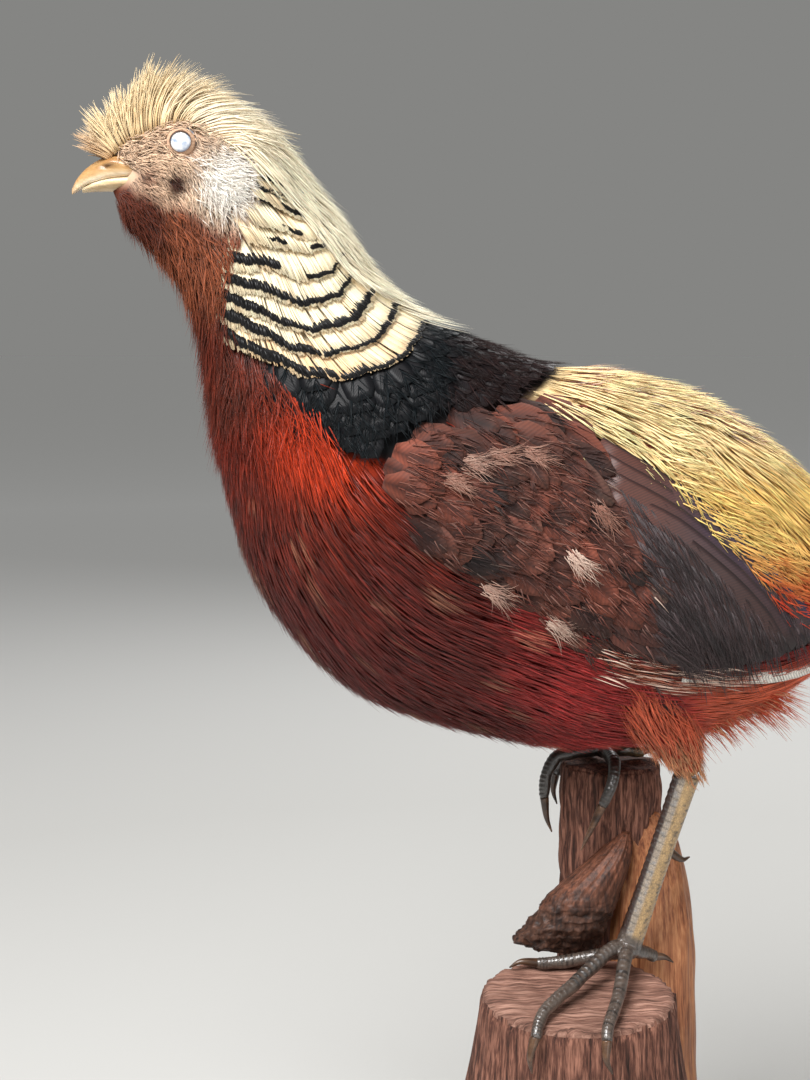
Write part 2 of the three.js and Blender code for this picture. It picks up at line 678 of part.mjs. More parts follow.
const wood = [stump, ringLoft(UPRIGHT_RINGS), heartwood, stub];
const thighs = {};
const tarsi = {};
for (const [name, leg] of Object.entries(LEGS)) {
  const tarsus = makeTarsus(leg);
  const foot = cutBy(makeFoot(leg), tarsus, ...wood);
  tarsi[name] = tarsus;
  thighs[name] = cutBy(makeThigh(leg.thigh), tarsus);
  place(`tarsus_${name}`, tarsus, FINISHES.scale);
  place(`foot_${name}`, foot, FINISHES.scale);
  place(`thigh_${name}`, thighs[name], FINISHES.thigh);
  place(`spur_${name}`, cutBy(makeClaw(leg.spur, SPUR_ROOT_RADIUS), tarsus), FINISHES.claw);
  for (const [toe, line] of Object.entries(leg.claws)) {
    place(`claw_${toe}_${name}`, cutBy(makeClaw(line), foot, ...wood), FINISHES.claw);
  }
}

const legParts = [thighs.left, thighs.right, tarsi.right];
const face = bodyPart(BODY_CUTS.head, BODY_CUTS.neck);
place('head', cutBy(recessed(face, CAPE), billUpper, billLower, eyes.left, eyes.right), FINISHES.face);
place('neck', recessed(bodyPart(BODY_CUTS.neck, BODY_CUTS.breast), CAPE), FINISHES.throat);
place('breast', recessed(bodyPart(BODY_CUTS.breast, BODY_CUTS.belly), CAPE), FINISHES.breast);
place('belly', cutBy(bodyPart(BODY_CUTS.belly, BODY_CUTS.rump), ...legParts), FINISHES.belly);
place('rump', cutBy(bodyPart(BODY_CUTS.rump, BODY_CUTS.end), ...legParts), FINISHES.rump);
place('bill_upper', billUpper, FINISHES.horn);
place('bill_lower', billLower, FINISHES.horn);
place('crest', makeCrest(), FINISHES.crest);
place('cape', cape, FINISHES.cape);

for (const [name, side] of [['left', LEFT], ['right', RIGHT]]) {
  place(`eye_${name}`, eyes[name], FINISHES.glass);
  place(`wing_coverts_${name}`, cutBy(wingPiece(WING_COVERT_OUTLINE, side), ...legParts), FINISHES.covert);
  place(`wing_flight_${name}`, cutBy(wingPiece(WING_FLIGHT_OUTLINE, side), ...legParts), FINISHES.flight);
  place(`tail_covert_${name}`, tailCovert(side), FINISHES.scarlet);
  TAIL_LENGTHS.forEach((_, rank) => {
    place(`tail_${rank + 1}_${name}`, tailFeather(rank, side), FINISHES.tail);
  });
}

const tailUnderside = TAIL_LENGTHS.flatMap((_, rank) => [tailFeather(rank, LEFT), tailFeather(rank, RIGHT)]);
const undertail = uprightLoft(UNDERTAIL_STATIONS, THIGH_SIDES);
place('undertail', cutBy(undertail, bodyWhole, ...legParts, ...tailUnderside), FINISHES.thigh);

export default group;
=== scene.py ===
"""A mounted cock golden pheasant on its stump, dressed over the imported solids.

The bird faces -X, its left side is -Y and Z is up. Lengths are metres unless a name ends in _mm,
and the tables of the bird's form repeat the sizes of its solids in millimetres.
"""

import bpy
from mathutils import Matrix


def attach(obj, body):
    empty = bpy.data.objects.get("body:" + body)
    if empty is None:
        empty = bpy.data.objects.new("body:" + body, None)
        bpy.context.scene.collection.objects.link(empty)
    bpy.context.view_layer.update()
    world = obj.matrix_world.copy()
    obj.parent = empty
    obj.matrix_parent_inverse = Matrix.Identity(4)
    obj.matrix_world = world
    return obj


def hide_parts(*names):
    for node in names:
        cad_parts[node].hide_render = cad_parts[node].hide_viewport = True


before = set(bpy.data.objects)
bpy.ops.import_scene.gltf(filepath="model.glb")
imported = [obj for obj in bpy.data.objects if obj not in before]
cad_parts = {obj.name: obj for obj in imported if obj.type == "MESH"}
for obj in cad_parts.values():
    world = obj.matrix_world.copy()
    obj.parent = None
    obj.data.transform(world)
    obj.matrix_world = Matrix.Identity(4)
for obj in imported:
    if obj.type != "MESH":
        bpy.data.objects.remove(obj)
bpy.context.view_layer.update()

import logging
import math
from collections.abc import Callable
from dataclasses import dataclass, field
from enum import Enum

import bmesh
import bpy
import numpy as np
from mathutils import Matrix, Vector
from mathutils.bvhtree import BVHTree

LOG = logging.getLogger("pheasant")
MM = 0.001
COLOUR = "coat_colour"
BAKE_MAP = "OFBake"
VANE_MAP = "vane"
PATCH = 0.003
Array = np.ndarray
Rgb = tuple[float, float, float]


def srgb(code: str) -> Rgb:
    """Linear colour of a six-digit hex code."""
    parts = [int(code[i:i + 2], 16) / 255 for i in (0, 2, 4)]
    return tuple(c / 12.92 if c <= 0.04045 else ((c + 0.055) / 1.055) ** 2.4 for c in parts)


class Side(Enum):
    """The bird's two sides, as the sign of Y."""

    LEFT = -1
    RIGHT = 1

    @property
    def label(self) -> str:
        """The side's name in lower case."""
        return self.name.lower()


# ------------------------------------------------------------------ numbers and fields


def smooth(low: float, high: float, x: Array) -> Array:
    """Smooth step from 0 at low to 1 at high."""
    t = np.clip((x - low) / (high - low), 0, 1)
    return t * t * (3 - 2 * t)


def unit(v: Array) -> Array:
    """Vectors of length one, along the last axis."""
    return v / (np.linalg.norm(v, axis=-1, keepdims=True) + 1e-12)


def spline(knots: Array, u: Array) -> Array:
    """Catmull-Rom curve through evenly numbered knots, straight beyond both ends.

    Args:
        knots: One row for each knot.
        u: Knot numbers to read, fractions between them.

    Returns:
        One row for each entry of u.
    """
    last = len(knots) - 1
    i = np.clip(np.floor(u).astype(int), 0, last - 1)
    t = (u - i)[:, None]
    inside = np.clip(t, 0, 1)
    padded = np.vstack([2 * knots[:1] - knots[1:2], knots, 2 * knots[-1:] - knots[-2:-1]])
    a, b, c, d = (padded[i + k] for k in range(4))
    curve = b + 0.5 * inside * ((c - a) + inside * ((2 * a - 5 * b + 4 * c - d)
                                                    + inside * (3 * (b - c) + d - a)))
    over = t - inside
    return curve + over * np.where(over > 0, (d - b) / 2, (c - a) / 2)


def wobble(p: Array, scale: float, seed: float = 0.0) -> Array:
    """Smooth noise from -1 to 1 made of crossed waves.

    Args:
        p: Points, metres.
        scale: Length of one wave, metres.
        seed: Shifts the waves.

    Returns:
        One value for each point.
    """
    q = p / scale * 2 * math.pi
    waves = (np.sin(q[:, 0] + 1.7 * np.sin(q[:, 2] * 0.7 + seed) + seed)
             + np.sin(q[:, 2] * 1.3 + 1.3 * np.sin(q[:, 1] + 2 * seed) + 2.1)
             + np.sin(q[:, 1] * 1.1 + 1.9 * np.sin(q[:, 0] * 0.6 + 3 * seed)))
    return waves / 3


@dataclass(frozen=True)
class Outline:
    """A closed outline in the side view."""

    points_mm: tuple[tuple[float, float], ...]

    def depth(self, p: Array) -> Array:
        """Distance of points inside the outline, metres; negative outside."""
        corners = np.array(self.points_mm) * MM
        q = p[:, [0, 2]][:, None, :]
        a = corners[None]
        ab = np.roll(corners, -1, axis=0)[None] - a
        t = np.clip(((q - a) * ab).sum(2) / (ab * ab).sum(2), 0, 1)
        gap = np.linalg.norm(q - a - t[..., None] * ab, axis=2).min(1)
        b = a + ab
        crosses = (a[..., 1] > q[..., 1]) != (b[..., 1] > q[..., 1])
        rise = np.where(ab[..., 1] == 0, 1e-12, ab[..., 1])
        left = q[..., 0] < a[..., 0] + ab[..., 0] * (q[..., 1] - a[..., 1]) / rise
        inside = (crosses & left).sum(1) % 2 == 1
        return np.where(inside, gap, -gap)

    def mask(self, p: Array, soft_mm: float = 1.0) -> Array:
        """1 well inside, 0 well outside, with a soft edge."""
        return smooth(-soft_mm * MM, soft_mm * MM, self.depth(p))


# ------------------------------------------------------------------ the bird's form


@dataclass(frozen=True)
class Saddle:
    """A rounded form between a top and a bottom line in the middle plane.

    Each row is top x, top z, bottom x, bottom z and half width, in millimetres. A point has a
    station u along the rows and an angle round the form: 0 on top, positive to the right.
    """

    rows_mm: tuple[tuple[float, ...], ...]
    squareness: float = 2.15

    @property
    def last(self) -> int:
        """Number of the last station."""
        return len(self.rows_mm) - 1

    def surface(self, u: Array, angle: Array, depth: Array | float = 0.0) -> Array:
        """Points on the form, pushed out by depth metres."""
        row = spline(np.array(self.rows_mm) * MM, np.asarray(u, float))
        top, foot = row[:, 0:2], row[:, 2:4]
        span = np.linalg.norm(top - foot, axis=1, keepdims=True)
        up = (top - foot) / span
        power = 2 / self.squareness
        cos, sin = np.cos(angle), np.sin(angle)
        lift = (np.sign(cos) * np.abs(cos) ** power * (span[:, 0] / 2 + depth))[:, None]
        out = np.sign(sin) * np.abs(sin) ** power * (row[:, 4] + depth)
        middle = (top + foot) / 2 + up * lift
        return np.stack([middle[:, 0], out, middle[:, 1]], axis=1)

    def frame(self, u: Array, angle: Array, depth: Array | float = 0.0) -> tuple[Array, ...]:
        """Point, outward normal and the two derivatives at places on the form."""
        step = 1e-3
        here = self.surface(u, angle, depth)
        along = (self.surface(u + step, angle, depth) - self.surface(u - step, angle, depth)) / (2 * step)
        turn = 6e-3
        round_ = (self.surface(u, angle + turn, depth) - self.surface(u, angle - turn, depth)) / (2 * turn)
        normal = unit(np.cross(along, round_))
        return here, normal, along, round_


BODY = Saddle((
    (-176.5, 474.5, -174.5, 466.0, 3.9),
    (-169.5, 485.0, -172.5, 460.0, 7.4),
    (-157.5, 492.5, -169.0, 454.0, 11.8),
    (-141.0, 496.5, -164.5, 448.5, 16.5),
    (-125.5, 493.0, -158.5, 443.0, 16.5),
    (-112.5, 481.0, -152.5, 436.0, 17.5),
    (-102.0, 467.0, -147.0, 428.0, 20.5),
    (-90.0, 451.5, -142.5, 415.7, 25.0),
    (-79.0, 434.0, -139.3, 398.3, 30.0),
    (-60.5, 419.0, -136.3, 376.5, 36.0),
    (-37.0, 409.5, -130.5, 349.0, 41.5),
    (-17.5, 402.5, -118.0, 313.0, 46.0),
    (10.0, 398.5, -82.0, 276.0, 49.0),
    (43.0, 389.5, -22.0, 258.0, 48.0),
    (58.5, 380.5, 13.9, 256.3, 45.0),
    (72.0, 371.0, 44.7, 261.1, 40.0),
    (85.5, 358.5, 67.0, 270.0, 33.0),
    (99.0, 343.0, 91.5, 286.0, 24.0),
    (111.0, 326.4, 109.7, 297.5, 14.0),
))
CREST = Saddle((
    (-189.0, 478.0, -186.5, 473.5, 2.0),
    (-184.5, 490.0, -178.0, 472.0, 8.0),
    (-175.5, 500.5, -168.0, 472.0, 13.0),
    (-164.5, 507.5, -158.0, 472.0, 16.5),
    (-151.5, 514.5, -149.0, 472.0, 18.5),
    (-137.0, 511.5, -140.0, 470.0, 19.5),
    (-124.0, 502.5, -131.0, 466.0, 19.5),
    (-112.0, 487.5, -122.0, 460.0, 18.5),
    (-103.5, 474.0, -112.0, 452.0, 14.0),
))

CREST_BAND = Outline((
    (-195.0, 470.0), (-178.0, 478.0), (-165.0, 484.0), (-146.0, 488.5), (-132.0, 486.0), (-120.5, 479.0),
    (-112.0, 467.0), (-97.5, 453.5), (-85.0, 441.0), (-76.0, 430.5), (-64.7, 422.0), (-52.0, 417.5),
    (-50.0, 440.0), (-80.0, 540.0), (-200.0, 540.0),
))
CAPE_PATCH = Outline((
    (-115.5, 471.4), (-119.0, 452.0), (-125.5, 439.5), (-130.3, 424.3), (-131.9, 410.9), (-123.0, 405.7),
    (-107.3, 400.0), (-92.0, 394.5), (-77.6, 394.5), (-65.0, 400.5), (-56.2, 413.5), (-50.0, 430.0),
    (-98.0, 490.0),
))
CAPE_SIDE = Outline((
    (-124.0, 470.0), (-114.5, 464.5), (-100.0, 450.0), (-87.5, 437.5), (-78.5, 427.0), (-66.5, 418.5),
    (-52.0, 414.0), (-56.0, 380.0), (-140.0, 380.0), (-140.0, 440.0),
))
MANTLE_PATCH = Outline((
    (-119.0, 400.0), (-98.0, 381.0), (-90.0, 371.0), (-70.0, 367.5), (-52.0, 380.0), (-20.0, 389.5),
    (-2.0, 402.0), (-12.0, 425.0), (-49.0, 432.0), (-55.2, 413.5), (-64.4, 399.6), (-77.2, 393.2),
    (-92.0, 393.2), (-107.6, 398.7),
))
WING_PATCH = Outline((
    (-74.0, 361.0), (-67.0, 375.5), (-51.0, 383.0), (-18.1, 389.5), (3.0, 378.0), (20.7, 367.0),
    (26.0, 356.0), (38.6, 344.0), (53.0, 329.5), (66.0, 317.0), (80.6, 300.0), (79.6, 293.5),
    (39.7, 294.3), (18.4, 296.7), (-3.1, 308.2), (-31.5, 321.8), (-52.8, 333.2), (-67.0, 347.0),
))
FLIGHT_PATCH = Outline((
    (3.7, 380.0), (20.7, 369.0), (26.0, 358.0), (38.6, 346.0), (53.0, 331.5), (66.0, 319.0),
    (84.0, 300.0), (80.0, 291.0), (39.7, 292.0), (24.7, 294.5), (17.7, 324.0), (7.7, 352.0),
))
RUMP_PATCH = Outline((
    (-20.0, 389.5), (3.0, 380.0), (22.0, 368.5), (28.0, 357.0), (40.0, 346.0), (54.0, 331.5),
    (67.0, 319.0), (80.0, 302.0), (90.0, 292.0), (122.0, 290.0), (130.0, 345.0), (60.0, 400.0), (0.0, 412.0),
))
EYE_AT = np.array([-145.7, 10.6, 481.0]) * MM
EYE_RADIUS = 6.2 * MM


def wing_bulge(p: Array) -> Array:
    """How far the folded wing stands off the body, metres."""
    return 4.2 * MM * smooth(-1 * MM, 9 * MM, WING_PATCH.depth(p))


def head_relief(p: Array) -> Array:
    """The head's own modelling: eye socket, brow, cheek fluff and the chin, metres."""
    x, z = p[:, 0] / MM, p[:, 2] / MM

    def bump(cx: float, cz: float, rx: float, rz: float) -> Array:
        return np.exp(-((x - cx) / rx) ** 2 - ((z - cz) / rz) ** 2)

    side = np.clip(np.abs(p[:, 1]) / (9 * MM), 0, 1)
    relief = (-1.5 * bump(-145.7, 481.0, 6.0, 5.0) + 1.0 * bump(-147.0, 489.0, 9.0, 3.0)
              + 2.2 * bump(-129.0, 466.5, 9.0, 9.5) - 1.0 * bump(-147.5, 465.5, 4.0, 3.5)
              - 0.8 * bump(-158.0, 478.0, 6.0, 5.0)
              - 3.4 * bump(-170.0, 470.5, 6.0, 5.0) + 0.8 * bump(-152.0, 458.0, 9.0, 6.0))
    return relief * MM * side


def relief(p: Array) -> Array:
    """Every departure of the plumage from the plain body form, metres."""
    return wing_bulge(p) + head_relief(p)


def coat_depth(u: Array) -> Array:
    """Thickness of the feather coat over the skin at a station, metres."""
    knots = np.array([3.4, 2.6, 1.2, 1.1, 1.2, 1.6, 2.1, 2.5, 2.8, 3.0, 3.2, 3.2, 3.2, 3.2, 3.2, 3.2, 3.0, 2.6, 2.0])
    return spline(knots[:, None] * MM, np.asarray(u, float))[:, 0]


# ------------------------------------------------------------------ markings


def mix(a: Array, b: Rgb | Array, amount: Array) -> Array:
    """Colours moved towards b by an amount for each row."""
    return a + (np.asarray(b) - a) * np.clip(amount, 0, 1)[:, None]


class Tint:
    """Named plumage colours, linear."""

    CREST = srgb("e9d0a0")
    CREST_PALE = srgb("fff2d6")
    CREST_DEEP = srgb("c79f68")
    FACE = srgb("d9b99c")
    CHEEK = srgb("fbf3e8")
    EAR = srgb("4a2c22")
    CHIN = srgb("5c2b1c")
    THROAT = srgb("8b4c31")
    NECK = srgb("50251a")
    ORANGE = srgb("bd3a19")
    BREAST = srgb("561c13")
    BELLY = srgb("571c17")
    FLANK = srgb("8a2523")
    FAWN = srgb("b08a6c")
    CAPE = srgb("f1e2c0")
    CAPE_WARM = srgb("dfae76")
    BAR = srgb("0b090a")
    BAND = srgb("08090b")
    # Teal painted as glints on the rims of the mantle's front band.
    BAND_TEAL_GLINT = srgb("131d20")
    MANTLE = srgb("120c0d")
    COVERT = srgb("5c3429")
    COVERT_RED = srgb("6e3728")
    COVERT_DARK = srgb("211311")
    COVERT_PALE = srgb("dcc0ae")
    SLATE = srgb("372b2c")
    SLATE_DARK = srgb("231a1c")
    # Violet painted as sheen on the outer webs of the upper flight feathers.
    SLATE_VIOLET_SHEEN = srgb("45456a")
    GOLD = srgb("ffcf78")
    GOLD_PALE = srgb("ffdfa6")
    GOLD_DEEP = srgb("dc8e34")
    FRINGE = srgb("8a4a34")
    SCARLET = srgb("c03a1c")
    VENT = srgb("c25a3c")
    VENT_BUFF = srgb("cb8f66")
    WHITE = srgb("efe9df")
    TAIL_DARK = srgb("23150f")
    TAIL_SPOT = srgb("a5703d")


def flat_tone(p: Array, tone: Rgb) -> Array:
    """One colour for every point."""
    return np.tile(np.array(tone), (len(p), 1))


def ground(p: Array) -> Array:
    """Colour of the face, throat and underparts, before the patches that lie over them.

    Args:
        p: Points on the form, metres.

    Returns:
        Linear colour rows.
    """
    x, z = p[:, 0] / MM, p[:, 2] / MM
    drift = wobble(p, 46 * MM, 1.0)
    fine = wobble(p, 13 * MM, 4.0)
    colour = flat_tone(p, Tint.BREAST)
    colour = mix(colour, Tint.NECK, smooth(372, 392, z + 6 * drift))
    glow = np.exp(-((x + 92) / 20) ** 2 - ((z - 375) / 15) ** 2)
    colour = mix(colour, Tint.ORANGE, 1.7 * glow + 0.1 + 0.12 * fine)
    colour = mix(colour, Tint.BELLY, smooth(350, 300, z + 14 * drift))
    colour = mix(colour, Tint.FLANK, smooth(-50, 0, x + 10 * drift) * smooth(345, 320, z))
    fawn = smooth(0.5, 0.85, wobble(p, 21 * MM, 7.0)) * smooth(372, 340, z) * smooth(60, 20, x)
    colour = mix(colour, Tint.FAWN, 0.3 * fawn)
    colour = mix(colour, Tint.THROAT, smooth(412, 434, z + 4 * fine))
    colour = mix(colour, Tint.CHIN, smooth(438, 450, z + 2 * fine) * smooth(-148, -156, x))
    face = smooth(455, 463, z + 0.42 * (x + 150) + 2 * fine) * smooth(-108, -114, x)
    colour = mix(colour, Tint.FACE, face)
    cheek = np.exp(-((x + 127) / 9) ** 2 - ((z - 467) / 10) ** 2)
    colour = mix(colour, Tint.CHEEK, 1.6 * cheek)
    ear = np.exp(-((x + 147.5) / 3.6) ** 2 - ((z - 466) / 3.6) ** 2)
    colour = mix(colour, Tint.EAR, 1.3 * ear * face)
    lores = np.exp(-((x + 158) / 4.5) ** 2 - ((z - 468) / 4.0) ** 2)
    colour = mix(colour, Tint.CHIN, 0.8 * lores)
    vent = smooth(30, 52, x + 4 * drift) * smooth(296, 284, z)
    return mix(colour, Tint.VENT, vent)


def gilt(p: Array) -> Array:
    """Colour of the rump: pale gold above, deep gold and then scarlet at its lower end."""
    x, z = p[:, 0] / MM, p[:, 2] / MM
    fine = wobble(p, 13 * MM, 4.0)
    gold = mix(flat_tone(p, Tint.GOLD), Tint.GOLD_PALE, smooth(352, 376, z + 5 * fine))
    gold = mix(gold, Tint.GOLD_DEEP, smooth(345, 318, z + 6 * fine) * 0.8)
    return mix(gold, Tint.SCARLET, smooth(336, 312, z + 0.25 * (x - 80) + 5 * fine))


def markings(p: Array) -> Array:
    """Colour of the plumage at points on the bird, the same for skin and coat.

    Args:
        p: Points on the form, metres.

    Returns:
        Linear colour rows.
    """
    x = p[:, 0] / MM
    fine = wobble(p, 13 * MM, 4.0)
    colour = ground(p)
    rump = RUMP_PATCH.mask(p, 3)[:, None]
    colour = colour * (1 - rump) + gilt(p) * rump
    wing = WING_PATCH.mask(p, 2)[:, None]
    brown = mix(flat_tone(p, Tint.COVERT), Tint.COVERT_DARK, 0.6 + 0.9 * fine)
    colour = colour * (1 - wing) + brown * wing
    colour = mix(colour, Tint.SLATE_DARK, FLIGHT_PATCH.mask(p, 2))
    mantle = MANTLE_PATCH.mask(p, 2)
    colour = mix(colour, Tint.MANTLE, mantle)
    colour = mix(colour, Tint.BAND, mantle * smooth(-52, -64, x + 3 * fine))
    colour = mix(colour, Tint.CAPE, CAPE_PATCH.mask(p, 1))
    crest = CREST_BAND.mask(p, 1.5)[:, None]
    yellow = mix(flat_tone(p, Tint.CREST), Tint.CREST_PALE, smooth(-150, -110, x))
    return colour * (1 - crest) + yellow * crest


# ------------------------------------------------------------------ meshes from arrays


@dataclass
class CoatMesh:
    """Many small closed blades gathered from arrays into one joined mesh."""

    name: str
    slot: str
    points: list[Array] = field(default_factory=list)
    quads: list[Array] = field(default_factory=list)
    tris: list[Array] = field(default_factory=list)
    colours: list[Array] = field(default_factory=list)
    maps: list[Array] = field(default_factory=list)
    vanes: list[Array] = field(default_factory=list)
    count: int = 0

    def add(self, points: Array, quads: Array, tris: Array, colours: Array, maps: Array,
            vane: Array | None = None) -> None:
        """Takes in one batch; colours and both maps have a row for each point."""
        self.points.append(points)
        self.quads.append(quads + self.count)
        self.tris.append(tris + self.count)
        self.colours.append(colours)
        self.maps.append(maps)
        self.vanes.append(np.zeros((len(points), 2)) if vane is None else vane)
        self.count += len(points)

    def blades(self, path: Array, normal: Array, width: Array, ridge: Array, colour: Array, root: Array) -> None:
        """Adds three-sided blades that follow paths.

        Args:
            path: Points of n blades with k rings each, shape n, k, 3.
            normal: Outward direction at each ring, same shape.
            width: Full width at each ring, n, k.
            ridge: Height of the ridge at each ring, n, k.
            colour: Colour at each ring, n, k, 3.
            root: Place of each root on the bake map, n, 2.
        """
        n, k, _ = path.shape
        along = unit(np.gradient(path, axis=1))
        side = unit(np.cross(along, normal))
        up = unit(np.cross(side, along))
        half = side * width[..., None] / 2
        ring = np.stack([path - half, path + up * ridge[..., None], path + half], axis=2)
        base = (np.arange(n) * k * 3)[:, None, None]
        row = (np.arange(k - 1) * 3)[None, :, None]
        here = base + row + np.arange(3)[None, None]
        turn = base + row + np.array([1, 2, 0])[None, None]
        quads = np.stack([here, turn, turn + 3, here + 3], axis=3).reshape(-1, 4)
        ends = base[:, 0, 0]
        tip = ends + (k - 1) * 3
        tris = np.concatenate([np.stack([ends, ends + 2, ends + 1], 1), np.stack([tip, tip + 1, tip + 2], 1)])
        across = np.array([0.0, 0.5, 1.0])[None, None, :] * PATCH
        down = (np.linspace(0, 1, k) * PATCH)[None, :, None]
        place = np.zeros((n, k, 3, 2))
        place[..., 0] = root[:, None, None, 0] + across
        place[..., 1] = root[:, None, None, 1] + down + np.array([0.0, 0.2, 0.0]) * PATCH
        shades = np.repeat(colour[:, :, None, :], 3, axis=2)
        self.add(ring.reshape(-1, 3), quads, tris, shades.reshape(-1, 3), place.reshape(-1, 2))

    def build(self, material: bpy.types.Material) -> bpy.types.Object:
        """Makes the object, with its colour attribute and its bake map.

        Args:
            material: The finish of the whole piece.

        Returns:
            The new object, linked to the scene.
        """
        points = np.concatenate(self.points)
        quads = np.concatenate(self.quads) if self.quads else np.zeros((0, 4), int)
        tris = np.concatenate(self.tris) if self.tris else np.zeros((0, 3), int)
        corners = np.concatenate([quads.ravel(), tris.ravel()])
        starts = np.concatenate([np.arange(len(quads)) * 4, len(quads) * 4 + np.arange(len(tris)) * 3])
        mesh = bpy.data.meshes.new(self.name)
        mesh.vertices.add(len(points))
        mesh.vertices.foreach_set("co", points.ravel().astype(np.float32))
        mesh.loops.add(len(corners))
        mesh.loops.foreach_set("vertex_index", corners.astype(np.int32))
        mesh.polygons.add(len(starts))
        mesh.polygons.foreach_set("loop_start", starts.astype(np.int32))
        mesh.update(calc_edges=True)
        rgba = np.ones((len(points), 4))
        rgba[:, :3] = np.concatenate(self.colours)
        paint = mesh.color_attributes.new(COLOUR, "FLOAT_COLOR", "POINT")
        paint.data.foreach_set("color", rgba.ravel().astype(np.float32))
        place = np.clip(np.concatenate(self.maps), 0.001, 0.999)[corners]
        uv = mesh.uv_layers.new(name=BAKE_MAP)
        uv.data.foreach_set("uv", place.ravel().astype(np.float32))
        vane = mesh.uv_layers.new(name=VANE_MAP)
        vane.data.foreach_set("uv", np.concatenate(self.vanes)[corners].ravel().astype(np.float32))
        mesh.polygons.foreach_set("use_smooth", np.ones(len(starts), bool))
        mesh.materials.append(material)
        obj = bpy.data.objects.new(self.name, mesh)
        bpy.context.scene.collection.objects.link(obj)
        triangles = 2 * len(quads) + len(tris)
        LOG.info("%s: %d triangles", self.name, triangles)
        return dress(obj, self.slot)


def dress(obj: bpy.types.Object, slot: str, *nodes: str) -> bpy.types.Object:
    """Sets a piece on the root body and hides the nodes it stands for."""
    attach(obj, "root")
    if nodes:
        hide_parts(*nodes)
    return obj


# ------------------------------------------------------------------ combing feathers over a form


@dataclass(frozen=True)
class Comb:
    """How one kind of hair-like feather grows and lies.

    Lengths and widths are millimetres; fall turns the lie towards the belly, degrees; sunk and
    proud are the coat depths of root and tip; splay and lift are the spread among neighbours.
    """

    length: float
    width: float
    rings: int = 4
    length_spread: float = 0.25
    fall: float = 0.0
    sunk: float = 3.0
    proud: float = 0.0
    splay: float = 9.0
    lift: float = 0.8
    curl: float = 0.0
    bluntness: float = 0.1
    ridge: float = 0.22
    lock: float = 12.0
    shade: float = 0.18
    tip_light: float = 0.25


BILL_BARE = Outline((
    (-196.0, 484.0), (-180.5, 480.0), (-176.6, 476.4), (-172.0, 474.3), (-166.5, 472.3), (-161.6, 470.4),
    (-164.5, 467.0), (-169.5, 464.2), (-173.5, 461.8), (-196.0, 461.0),
))
EYE_CLEAR = 4.3 * MM


def over_eye(path: Array) -> Array:
    """Whether each point of each path lies over an eyeball or its lids."""
    ring = np.linalg.norm(path[..., [0, 2]] - EYE_AT[[0, 2]], axis=2)
    return (ring < EYE_CLEAR) & (np.abs(path[..., 1]) > 5 * MM)


def over_bill(path: Array) -> Array:
    """Whether each path passes over the bare bill."""
    n, k, _ = path.shape
    near = path[..., 0].min(1) < -158 * MM
    over = np.zeros(n, bool)
    if near.any():
        inside = BILL_BARE.depth(path[near].reshape(-1, 3)).reshape(-1, k) > 0
        over[near] = inside.any(1)
    return over


